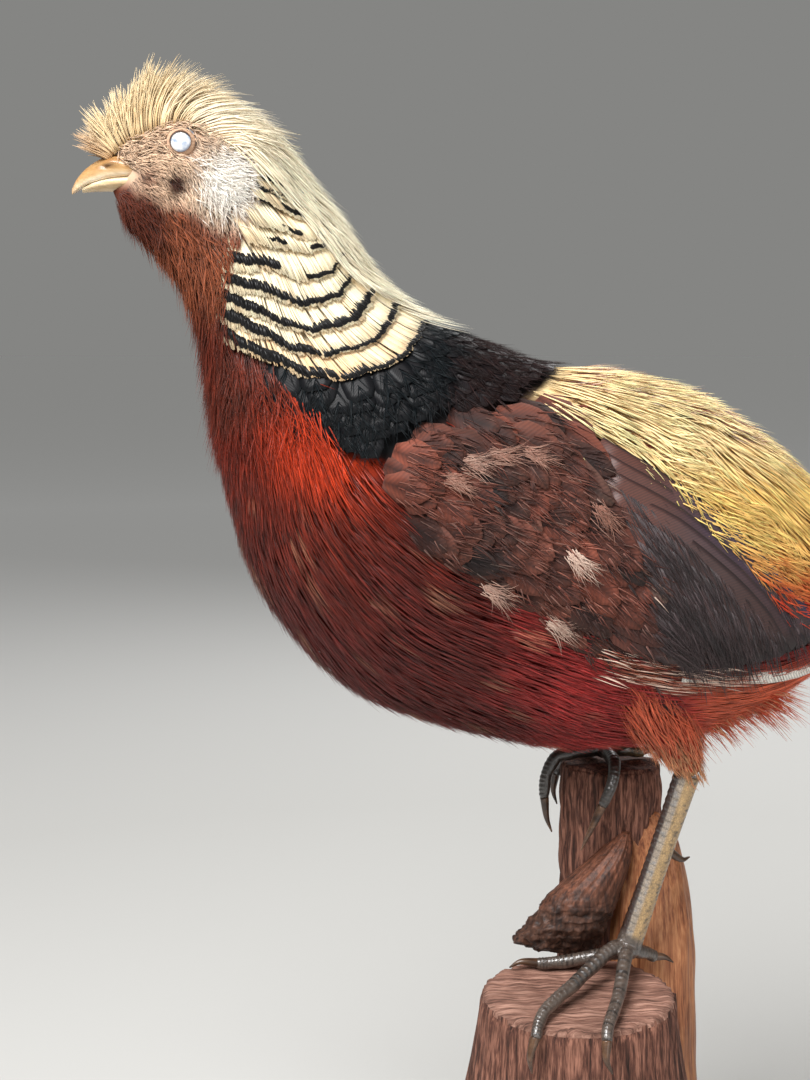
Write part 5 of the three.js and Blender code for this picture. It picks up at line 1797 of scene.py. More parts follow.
    def legs_and_vent(self) -> None:
        """Loose thigh feathers, buff fluff below the wing, the fluffy vent and the wedge below the tail."""
        coat = CoatMesh("thigh_plumage", "thigh_feather")
        for tube in THIGHS.values():
            grower = Grower(tube, self.rng)
            u, a = grower.scatter(1550, (0.0, 2.92), lambda p, u, a: np.ones(len(p)), (60, 60))
            style = Comb(length=15, width=0.62, rings=4, sunk=1.6, proud=0.5, splay=15, lift=1.1, lock=9,
                         shade=0.35, tip_light=0.4)
            grower.comb(coat, u, a, style, self._thigh, length=np.clip(19 - 3.6 * u, 6, 18),
                        base=level_ground, spread_map=(0, 3.6, -math.pi, math.pi))
        u, a = self.body.scatter(460, (11.0, 17.0), lambda p, u, a: FLUFF_PATCH.mask(p, 1.5) + 0.0)
        fluff = Comb(length=19, width=0.5, rings=4, sunk=1.0, proud=2.6, splay=13, lift=1.6, lock=9, fall=-6,
                     curl=-0.6, shade=0.35, tip_light=0.5)
        self.body.comb(coat, u, a, fluff, self._fringe, spread_map=(-6, 18, -math.pi, math.pi))
        dress(coat.build(self.finishes["gloss"]), "thigh_feather")
        coat = CoatMesh("undertail_down", "thigh_feather")
        grower = Grower(UNDERTAIL, self.rng)
        u, a = grower.scatter(1500, (0.0, 4.6), lambda p, u, a: np.ones(len(p)), (60, 80))
        style = Comb(length=20, width=0.85, rings=4, sunk=3.0, proud=-0.2, splay=15, lift=0.7, lock=10, fall=6)
        grower.comb(coat, u, a, style, self._vent, length=np.clip(24 - 3.0 * u, 8, 24),
                    base=level_ground, spread_map=(0, 5.5, -math.pi, math.pi))
        self._vent_fans(coat, 1900)
        dress(coat.build(self.finishes["gloss"]), "thigh_feather", "undertail")

    def _vent_fans(self, coat: CoatMesh, count: int) -> None:
        """Adds loose fans that leave the vent backwards and down.

        Args:
            coat: The mesh that takes them.
            count: Number of hairs.
        """
        rng = self.rng
        place, turn = rng.random(count), rng.uniform(-1, 1, count)
        fan = np.floor(place * 5 + 2.5 * turn)
        start = np.stack([32 + 34 * place, 16.5 * turn, 271.5 + 9 * place + 5 * rng.random(count)], axis=1) * MM
        dip = -0.75 + 0.45 * place + 0.3 * np.sin(fan * 2.4) + rng.normal(0, 0.12, count)
        heading = unit(np.stack([np.ones(count), 0.3 * turn + rng.normal(0, 0.1, count), dip], axis=1))
        outward = unit(np.stack([0 * turn, turn, -0.6 + 0 * turn], axis=1))
        reach = rng.uniform(12, 26, count) * MM
        tone = mix(flat_tone(start, Tint.VENT), Tint.ORANGE, 0.5 + 0.6 * np.sin(fan * 1.7))
        tone = mix(tone, Tint.VENT_BUFF, (rng.random(count) < 0.3) * 0.8) * rng.uniform(0.75, 1.2, (count, 1))
        root = np.stack([0.7 + 0.25 * place, 0.5 + 0.4 * turn], axis=1)
        free_blades(coat, start, heading, outward, reach, 0.6, np.clip(tone, 0.001, 1), root, 0.1, 4, rng)

    def _thigh(self, p: Array) -> Array:
        """Red high on the thigh, buff towards the ankle."""
        z = p[:, 2] / MM
        base = mix(flat_tone(p, Tint.FLANK), Tint.VENT, smooth(296, 276, z + 5 * wobble(p, 12 * MM, 2.0)))
        return mix(base, Tint.VENT_BUFF, smooth(266, 250, z + 6 * wobble(p, 5 * MM, 4.0)))

    def _vent(self, p: Array) -> Array:
        """Rust and buff fans below the tail."""
        base = mix(flat_tone(p, Tint.VENT), Tint.VENT_BUFF, 0.2 + 0.6 * wobble(p, 15 * MM, 1.0))
        return mix(base, Tint.SCARLET, smooth(100, 150, p[:, 0] / MM))


def level_ground(p: Array) -> Array:
    """No relief, for forms that have none."""
    return 0 * p[:, 0]


FLUFFS = (
    (-44.0, 368.0, -14, 0.5), (-34.0, 371.0, -8, 0.4), (-50.0, 362.0, -20, 0.35), (-22.0, 371.0, -18, 0.35),
    (-7.0, 336.0, -50, 0.95), (-14.0, 312.0, -34, 0.9), (-36.0, 324.0, -32, 0.6), (2.0, 352.0, -44, 0.25),
)
FLUFF_PATCH = Outline(((-4.0, 303.0), (22.0, 294.5), (48.0, 291.0), (52.0, 285.0), (24.0, 284.0), (-2.0, 292.0)))
CAPE_COUNT = 11
STRAND = Comb(length=16.4, width=1.05, rings=4, sunk=1.6, proud=0.15, splay=2.5, lift=0.05, lock=12, fall=2,
              length_spread=0.03, bluntness=0.55, ridge=0.14, shade=0.2, tip_light=0.1)
BAR = Comb(length=3.3, width=1.35, rings=3, sunk=-0.1, proud=0.15, splay=3, lift=0.03, lock=12, fall=2,
           length_spread=0.14, bluntness=0.7, ridge=0.05, shade=0.2, tip_light=0.0)
BOW_AT = (0.0, 0.145, 0.43, 0.50, 0.61, 0.69, 0.74, 0.89, 1.0)
BOW = (-0.22, -0.20, 0.17, 0.12, -0.01, -0.35, -0.70, -1.38, -1.90)
CAPE_ROWS = (
    (4.98, 0.94, 0.98, 0.40), (5.28, 0.94, 1.00, 0.42), (5.58, 0.94, 1.04, 0.45), (5.85, 0.96, 1.14, 0.50),
    (6.12, 0.98, 1.26, 0.55), (6.45, 1.08, 1.44, 0.60), (6.74, 1.12, 1.60, 0.66), (7.09, 1.18, 1.78, 0.72),
    (7.50, 1.24, 1.92, 0.78), (7.88, 1.27, 2.10, 0.84), (8.22, 1.33, 2.20, 0.90), (8.58, 1.39, 2.26, 0.95),
    (8.92, 1.41, 2.30, 1.00), (9.28, 1.43, 2.30, 1.00),
)
UNDERTAIL = Saddle(((68, 290, 68, 276, 18), (92, 297.5, 92, 286.5, 18), (118, 298.5, 118, 289, 15),
                    (150, 287, 150, 279.5, 11), (182, 275, 182, 269.5, 6), (206, 265.5, 206, 263.3, 2.2)), 2.0)


# ------------------------------------------------------------------ vanes


@dataclass(frozen=True)
class Cut:
    """Shape of a flat feather: the share of width along it and its camber.

    Neck is the width share at the root, tip the share at the end and blunt how square it ends.
    """

    neck: float = 0.35
    widest: float = 0.3
    tip: float = 0.25
    blunt: float = 3.0
    camber: float = 0.12
    thickness: float = 0.3

    def width(self, t: Array) -> Array:
        """Width share along the feather."""
        rise = self.neck + (1 - self.neck) * smooth(0, self.widest, t)
        return rise * np.maximum(np.sqrt(np.clip(1 - t ** (2 * self.blunt), 0, 1)), self.tip)


def add_vanes(coat: CoatMesh, path: Array, normal: Array, half: Array, cut: Cut, tint: Callable[..., Array],
              place: Array, columns: int = 5, lengths: Array | None = None) -> None:
    """Adds flat closed feathers with an upper face, an under face and a rim.

    Args:
        coat: The mesh that takes them.
        path: Middle line of n feathers with k rings, n, k, 3.
        normal: Outward directions, n, k, 3.
        half: Half widths in metres, n.
        cut: Shape of the feather.
        tint: Colour for arrays of across (-1 to 1) and along (0 to 1), shapes n, k, m.
        place: Corner and size on the bake map, n, 4.
        columns: Points across.
        lengths: Lengths for the vane map, metres.
    """
    n, k, _ = path.shape
    t = np.linspace(0, 1, k)
    s = np.linspace(-1, 1, columns)
    along = unit(np.gradient(path, axis=1))
    side = unit(np.cross(along, normal))
    up = unit(np.cross(side, along))
    wide = half[:, None] * cut.width(t)[None]
    offset = wide[..., None] * s[None, None]
    sink = -cut.camber * wide[..., None] * (s ** 2)[None, None]
    grid = path[:, :, None] + side[:, :, None] * offset[..., None] + up[:, :, None] * sink[..., None]
    push = up[:, :, None] * (cut.thickness * MM / 2 * (1 - 0.6 * np.abs(s)))[None, None, :, None]
    both = np.stack([grid + push, grid - push], axis=1)
    base = (np.arange(n) * 2 * k * columns)[:, None]
    cell = (np.arange(k - 1)[:, None] * columns + np.arange(columns - 1)[None]).ravel()[None]
    a, b, c, d = base + cell, base + cell + 1, base + cell + columns + 1, base + cell + columns
    over = k * columns
    rim = np.concatenate([np.arange(columns), columns - 1 + columns * np.arange(1, k),
                          over - 2 - np.arange(columns - 1), columns * np.arange(k - 2, 0, -1)])
    r0, r1 = base + rim[None], base + np.roll(rim, -1)[None]
    quads = np.concatenate([np.stack([a, b, c, d], -1).reshape(-1, 4),
                            np.stack([a + over, d + over, c + over, b + over], -1).reshape(-1, 4),
                            np.stack([r1, r0, r0 + over, r1 + over], -1).reshape(-1, 4)])
    ss = np.broadcast_to(s[None, None], (n, k, columns))
    tt = np.broadcast_to(t[None, :, None], (n, k, columns))
    tone = np.clip(tint(ss, tt), 0.001, 1)
    colours = np.stack([tone, tone * 0.8], axis=1).reshape(-1, 3)
    spot = np.stack([place[:, None, None, 0] + place[:, None, None, 2] * (ss * 0.5 + 0.5),
                     place[:, None, None, 1] + place[:, None, None, 3] * tt], axis=-1)
    maps = np.stack([spot, spot], axis=1).reshape(-1, 2)
    reach = np.linalg.norm(np.diff(path, axis=1), axis=2).sum(1) if lengths is None else lengths
    vane = np.stack([offset, reach[:, None, None] * tt], axis=-1)
    vane = np.stack([vane, vane], axis=1).reshape(-1, 2)
    coat.add(both.reshape(-1, 3), quads, np.zeros((0, 3), int), colours, maps, vane)


def add_barbs(coat: CoatMesh, path: Array, normal: Array, reach: float, each: int, slant: float, tone: Array,
              place: Array, rng: np.random.Generator, width: float = 0.4, hand: float = 0.0) -> None:
    """Adds single barbs that leave the shafts of flat feathers and lie on their upper face.

    Args:
        coat: The mesh that takes them.
        path: Middle line of n feathers with k rings, n, k, 3.
        normal: Outward directions, n, k, 3.
        reach: Half width of the feathers that the barbs cross, millimetres.
        each: Barbs on one feather.
        slant: Angle between barb and shaft, degrees.
        tone: Colour of each feather's barbs, n, 3.
        place: Corner and size on the bake map, n, 4.
        rng: Source of the spread.
        width: Width of a barb, millimetres.
        hand: Side of the shaft that has barbs, 1 or -1, or 0 for both.
    """
    n, k, _ = path.shape
    pick = np.repeat(np.arange(n), each)
    total = n * each
    along = rng.uniform(1.0, k - 1.6, total)
    ring = np.floor(along).astype(int)
    part = (along - ring)[:, None]
    ahead = unit(path[pick, ring + 1] - path[pick, ring])
    up = normal[pick, ring]
    turn = np.where(rng.random(total) < 0.5, -1.0, 1.0)[:, None] if hand == 0 else np.full((total, 1), hand)
    side = unit(np.cross(ahead, up)) * turn
    lean = np.radians(slant + rng.normal(0, 4, total))[:, None]
    heading = unit(ahead * np.cos(lean) + side * np.sin(lean))
    start = path[pick, ring] * (1 - part) + path[pick, ring + 1] * part + up * (0.28 * MM)
    length = reach * MM / np.sin(lean[:, 0]) * rng.uniform(0.7, 1.02, total)
    colour = tone[pick] * rng.uniform(0.45, 1.7, (total, 1))
    spread = np.stack([0.5 + 0.4 * turn[:, 0] * rng.random(total), along / k], axis=1)
    root = place[pick, :2] + np.maximum(place[pick, 2:], 0.004) * spread
    free_blades(coat, start, heading, up, length, width, np.clip(colour, 0.001, 1), root, 0.0, 3, rng)


class Shell:
    """The outer surface of the plumage, for laying long feathers on by their side view."""

    def __init__(self) -> None:
        """Builds the search tree."""
        nu, na = 240, 160
        u, a = (g.ravel() for g in np.meshgrid(np.linspace(0, BODY.last, nu + 1),
                                               np.linspace(-math.pi, math.pi, na, endpoint=False), indexing="ij"))
        outer = BODY.surface(u, a)
        points = BODY.surface(u, a, wing_bulge(outer))
        ring = np.arange(na)
        faces = [(i * na + j, i * na + (j + 1) % na, (i + 1) * na + (j + 1) % na, (i + 1) * na + j)
                 for i in range(nu) for j in ring]
        self.tree = BVHTree.FromPolygons([tuple(p) for p in points], faces)

    def lay(self, paths: Array, side: Side, lift: Array) -> tuple[Array, Array]:
        """Drops side-view paths onto the plumage.

        Args:
            paths: Side-view points, n, k, 2 in metres.
            side: Side of the bird.
            lift: Height over the plumage, n, k.

        Returns:
            Points and outward normals, n, k, 3.
        """
        n, k, _ = paths.shape
        points, normals = np.zeros((n, k, 3)), np.zeros((n, k, 3))
        toward = Vector((0, -side.value, 0))
        for i in range(n):
            for j in range(k):
                x, z = paths[i, j]
                hit = self.tree.ray_cast(Vector((x, side.value * 0.2, z)), toward)
                if hit[0] is None:
                    hit = self.tree.find_nearest(Vector((x, side.value * 0.02, z)))
                normal = Vector(hit[1])
                normal = normal if normal.y * side.value > 0 else -normal
                flat = (normal + Vector((0, side.value * 0.8, 0))).normalized()
                points[i, j] = hit[0] + flat * lift[i, j]
                normals[i, j] = flat
        return points, normals


def settle(path: Array, rounds: int = 2) -> Array:
    """Evens out the inner points of each path."""
    for _ in range(rounds):
        path[:, 1:-1] = (path[:, :-2] + 2 * path[:, 1:-1] + path[:, 2:]) / 4
    return path


class Wings:
    """Scapulars, coverts, tertials and secondaries of both folded wings, and the mantle scales."""

    def __init__(self, rng: np.random.Generator, finishes: dict[str, bpy.types.Material]) -> None:
        """Keeps the random source, the finishes and the plumage surface."""
        self.rng = rng
        self.finishes = finishes
        self.shell = Shell()

    def build(self) -> None:
        """Makes the wings and the mantle."""
        self.mantle()
        for side in Side:
            self.coverts(side)
            self.flight(side)

    def mantle(self) -> None:
        """Square-ended scales over the upper back, glossy black in front with painted teal glints on their rims, maroon
        behind.
        """
        coat = CoatMesh("mantle_scales", "wing_covert")
        rows = 17
        for row in range(rows):
            u0 = 8.35 + row * 0.225
            count = 23
            a = (np.arange(-count, count + 1) + 0.5 * (row % 2)) * 0.082 * (1 - 0.012 * row)
            u = u0 + 0.12 * np.abs(a) + self.rng.normal(0, 0.03, len(a))
            ends = MANTLE_PATCH.depth(BODY.surface(u + 0.85, a))
            keep = (MANTLE_PATCH.depth(BODY.surface(u, a)) > -9 * MM) & (ends > -2.5 * MM)
            u, a = u[keep], a[keep]
            if len(u) == 0:
                continue
            n, k = len(u), 6
            t = np.linspace(0, 1, k)[None]
            p, _, along, round_ = BODY.frame(u, a)
            reach = (10 + 6 * self.rng.random(n)) * MM
            uu = u[:, None] + (reach / np.linalg.norm(along, axis=1))[:, None] * t
            fall = 4 * np.sign(a) * MM * np.abs(a) / np.linalg.norm(round_, axis=1)
            drift = self.rng.normal(0, 1.4, n) * MM / np.linalg.norm(round_, axis=1)
            aa = a[:, None] + (fall + drift)[:, None] * t
            height = (-1.4 + (1.8 + 0.5 * self.rng.random((n, 1))) * t) * MM + (0.02 * row) * MM + 0 * uu
            path, normal, _, _ = BODY.frame(uu.ravel(), aa.ravel(), height.ravel())
            band = smooth(-50, -60, p[:, 0] / MM + 4 * wobble(p, 9 * MM, 2.0))
            # Painted glints: in the front band the rims of the scales take teal.
            edge = mix(flat_tone(p, srgb("33211e")), Tint.BAND_TEAL_GLINT, band)
            core = mix(flat_tone(p, Tint.MANTLE), Tint.BAND, band)

            def tint(s: Array, tt: Array, edge: Array = edge, core: Array = core) -> Array:
                rim = 0.5 * smooth(0.84, 1.0, np.maximum(tt, np.abs(s) * 0.92))[..., None]
                return core[:, None, None] * (1 - rim) + edge[:, None, None] * rim

            spot = np.zeros((n, 4))
            spot[:, 0] = 0.02 + 0.95 * (u - 8) / 6
            spot[:, 1] = 0.02 + 0.95 * (a + math.pi) / (2 * math.pi)
            spot[:, 2:] = PATCH
            cut = Cut(neck=0.5, widest=0.35, tip=0.6, blunt=6, camber=0.04, thickness=0.2)
            path, normal = path.reshape(n, k, 3), normal.reshape(n, k, 3)
            add_vanes(coat, path, normal, self.rng.uniform(4.0, 5.8, n) * MM, cut, tint, spot)
            add_barbs(coat, path, normal, 4.6, 11, 24, edge * 0.8, spot, self.rng, 0.34)
        dress(coat.build(self.finishes["gloss_vane"]), "wing_covert")

    def coverts(self, side: Side) -> None:
        """Rounded coverts in jittered rows, each with loose pale barbs at its end."""
        coat = CoatMesh(f"wing_coverts_plumage_{side.label}", "wing_covert")
        xs, zs = np.meshgrid(np.arange(-78, 30, 7.0), np.arange(292, 392, 5.8))
        xz = np.stack([xs.ravel() + 3.5 * (np.arange(xs.size) // xs.shape[1] % 2), zs.ravel()], axis=1)
        xz = (xz + self.rng.normal(0, 1.7, xz.shape)) * MM
        depth = WING_PATCH.depth(np.stack([xz[:, 0], 0 * xz[:, 0], xz[:, 1]], axis=1))
        front = xz[:, 0] / MM + 0.42 * (xz[:, 1] / MM - 340) < 4
        xz = xz[(depth > -2 * MM) & front]
        xz = xz[np.argsort(-(xz[:, 0] - 0.6 * xz[:, 1]))]
        n, k = len(xz), 7
        t = np.linspace(0, 1, k)
        lie = np.radians(-22 - 20 * smooth(-60, 20, xz[:, 0] / MM) + self.rng.normal(0, 11, n))
        reach = (19 + 8 * smooth(-60, 20, xz[:, 0] / MM) + self.rng.normal(0, 3, n)) * MM
        step = np.stack([np.cos(lie), np.sin(lie)], axis=1) * reach[:, None]
        paths = xz[:, None] + step[:, None] * t[None, :, None]
        lift = (-1.6 + 2.3 * t[None] + self.rng.random((n, 1)) * 0.9) * MM
        path, normal = self.shell.lay(paths, side, lift)
        path = settle(path)
        base, pale = self._covert_colours(path[:, 0])

        def tint(s: Array, tt: Array) -> Array:
            blotch = smooth(0.9, 0.2, np.abs(s) + 0.8 * np.abs(tt - 0.6))[..., None]
            rim = smooth(0.7, 1.0, np.maximum(tt, np.abs(s)))[..., None]
            mid = base[:, None, None] * (1.1 - 0.85 * blotch)
            return mid * (1 - 0.25 * rim) + pale[:, None, None] * 0.25 * rim

        spot = self._spots(xz)
        cut = Cut(neck=0.4, widest=0.4, tip=0.12, blunt=1.0, camber=0.1)
        add_vanes(coat, path, normal, (6.0 + 2.2 * self.rng.random(n)) * MM, cut, tint, spot)
        self._barbs(coat, path, normal, base, pale, spot)
        self._fluff(coat, side)
        dress(coat.build(self.finishes["soft_vane"]), "wing_covert", f"wing_coverts_{side.label}")

    def _covert_colours(self, p: Array) -> tuple[Array, Array]:
        """Ground colour and pale edge of each covert."""
        n = len(p)
        drift = 0.5 + 0.8 * wobble(p, 34 * MM, 2.0)
        base = mix(flat_tone(p, Tint.COVERT), Tint.COVERT_RED, drift)
        dark = smooth(0.1, 0.7, wobble(p, 26 * MM, 9.0)) * 0.5 + smooth(0.5, 0.95, self.rng.random(n)) * 0.7
        base = mix(base * self.rng.uniform(0.7, 1.3, (n, 1)), Tint.COVERT_DARK, dark)
        base = mix(base, Tint.SLATE, smooth(-6, 14, p[:, 0] / MM) * 0.7)
        fluffy = smooth(0.62, 0.8, wobble(p, 23 * MM, 5.5))
        pale = mix(base * 1.35, Tint.COVERT_PALE, 0.08 + 0.85 * fluffy)
        return base, pale

    def _spots(self, xz: Array) -> Array:
        """Bake-map patches on the side-view unwrap of one wing."""
        spot = np.full((len(xz), 4), PATCH)
        spot[:, 0] = 0.02 + 0.95 * (xz[:, 0] / MM + 80) / 180
        spot[:, 1] = 0.02 + 0.95 * (xz[:, 1] / MM - 285) / 115
        return spot

    def _barbs(self, coat: CoatMesh, path: Array, normal: Array, base: Array, pale: Array, spot: Array) -> None:
        """Adds loose hair-like barbs down both edges and round the end of each covert."""
        each = 18
        n = len(path)
        total = n * each
        pick = np.repeat(np.arange(n), each)
        ring = self.rng.integers(2, path.shape[1] - 1, total)
        edge = self.rng.uniform(-1, 1, total)
        ahead = unit(path[pick, ring + 1] - path[pick, ring - 1])
        up = normal[pick, ring]
        side = unit(np.cross(ahead, up))
        start = path[pick, ring] + side * (edge * 4.6 * MM)[:, None] + up * (0.25 * MM)
        heading = unit(ahead + side * (edge * 0.3 + self.rng.normal(0, 0.06, total))[:, None]
                       + up * self.rng.normal(0.0, 0.025, (total, 1)))
        length = self.rng.uniform(4.0, 9.0, total) * MM
        share = (self.rng.random((total, 1)) < 0.25) * 1.0
        colour = (base[pick] * (1 - share) + pale[pick] * share) * (0.75 + 0.6 * self.rng.random((total, 1)))
        free_blades(coat, start, heading, up, length, 0.5, np.clip(colour, 0.001, 1), spot[pick, :2], 0.04, 3,
                    self.rng)

    def _fluff(self, coat: CoatMesh, side: Side) -> None:
        """Adds the loose pale clusters that stick out between the coverts."""
        for x, z, lie, white in FLUFFS:
            n, k = 60, 5
            t = np.linspace(0, 1, k)
            fan = self.rng.uniform(-1, 1, n)
            root = np.array([x, z]) + self.rng.normal(0, 1.3, (n, 2))
            angle = np.radians(lie + 14 * fan)[:, None]
            reach = (self.rng.uniform(5, 15, n) * (1 - 0.4 * fan ** 2))[:, None] * t[None]
            bend = angle + (0.3 * fan + 0.1 * self.rng.normal(0, 1, n))[:, None] * t[None]
            paths = root[:, None] + np.stack([np.cos(bend), np.sin(bend)], axis=-1) * reach[..., None]
            lift = (1.2 + (0.6 + 1.2 * self.rng.random((n, 1))) * t[None]) * MM
            path, normal = self.shell.lay(paths * MM, side, lift)
            tone = mix(flat_tone(path[:, 0], Tint.FRINGE), Tint.COVERT_PALE, white * self.rng.uniform(0.5, 1.2, n))
            tones = np.clip(np.repeat(tone[:, None], k, axis=1) * (0.85 + 0.25 * t[None, :, None]), 0.001, 1)
            wide = 0.32 * MM * np.clip(1 - t ** 2, 0.1, 1)[None] * self.rng.uniform(0.7, 1.3, (n, 1))
            coat.blades(path, normal, wide, wide * 0.35, tones, self._spots(root * MM)[:, :2])

    def flight(self, side: Side) -> None:
        """Tertials and secondaries as long stacked vanes with violet edges of painted sheen on the upper feathers, and
        one bare white quill.
        """
        coat = CoatMesh(f"wing_flight_plumage_{side.label}", "wing_flight")
        order = np.arange(13)
        roots = np.stack([2 + 1.1 * order, 373 - 5.4 * order], axis=1)
        tips = np.stack([84.5 - 3.5 * order, 303 - 0.95 * order], axis=1)
        n, k = len(roots), 14
        t = np.linspace(0, 1, k)
        paths = roots[:, None] + (tips - roots)[:, None] * t[None, :, None]
        paths[..., 1] += 4.0 * np.sin(math.pi * t)[None]
        lift = (2.8 - 0.17 * order)[:, None] * MM + (-2.6 * (1 - t[None]) ** 3 + 0.4 * t[None]) * MM
        path, normal = self.shell.lay(paths * MM, side, lift)
        path = settle(path, 6)
        tone = np.tile(np.array(Tint.SLATE), (n, 1)) * (0.6 + 0.9 * self.rng.random((n, 1)))
        inner = mix(tone, Tint.COVERT, np.full(n, 0.3))
        # Painted sheen: the share of violet on each feather, strongest on the top one and gone by the fourth.
        violet_sheen = np.clip(0.85 - 0.25 * order, 0.0, 1)[:, None, None, None]

        def tint(s: Array, tt: Array) -> Array:
            # Painted sheen: violet over the outer web, from a fifth of the way along.
            out = (smooth(0.1, 1.0, s * side.value) * smooth(0.2, 0.55, tt))[..., None] * violet_sheen
            root = smooth(0.45, 0.1, tt)[..., None] * 0.8
            body = inner[:, None, None] * (1 - out) + np.array(Tint.SLATE_VIOLET_SHEEN) * out
            tip = np.maximum(smooth(0.88, 1.0, tt), smooth(0.72, 0.98, np.abs(s)))[..., None]
            body = body * (1 - root) + np.array(Tint.COVERT) * root
            return body * (1 - 0.85 * tip) + np.array(Tint.SLATE_DARK) * 0.6 * tip

        spot = np.zeros((n, 4))
        spot[:, 0] = 0.03 + 0.065 * order
        spot[:, 1] = 0.05
        spot[:, 2] = 0.05
        spot[:, 3] = 0.85
        cut = Cut(neck=0.6, widest=0.35, tip=0.3, blunt=3.2, camber=0.1, thickness=0.4)
        add_vanes(coat, path, normal, np.full(n, 7.6 * MM), cut, tint, spot, columns=9)
        add_barbs(coat, path, normal, 7.2, 110, 26, tone * 1.3, spot, self.rng, 0.42, -side.value)
        self._quill(coat, side)
        dress(coat.build(self.finishes["vane"]), "wing_flight", f"wing_flight_{side.label}")


    def _quill(self, coat: CoatMesh, side: Side) -> None:
        """Adds the stiff white feather that shows below the wing's end."""
        k = 12
        t = np.linspace(0, 1, k)[None]
        paths = np.stack([34 + 74 * t, 289.6 - 1.5 * t - 1.5 * t ** 2], axis=-1) * MM
        path, normal = self.shell.lay(paths, side, (1.4 + 0 * t) * MM)
        path = settle(path, 6)

        def tint(s: Array, tt: Array) -> Array:
            rim = smooth(0.55, 1.0, s * side.value)[..., None]
            return np.array(Tint.WHITE) * (1 - rim) + np.array(Tint.SLATE) * rim

        spot = np.array([[0.9, 0.05, 0.05, 0.85]])
        cut = Cut(neck=0.35, widest=0.5, tip=0.15, blunt=1.5, camber=0.05, thickness=0.6)
        add_vanes(coat, path, normal, np.array([3.1 * MM]), cut, tint, spot)


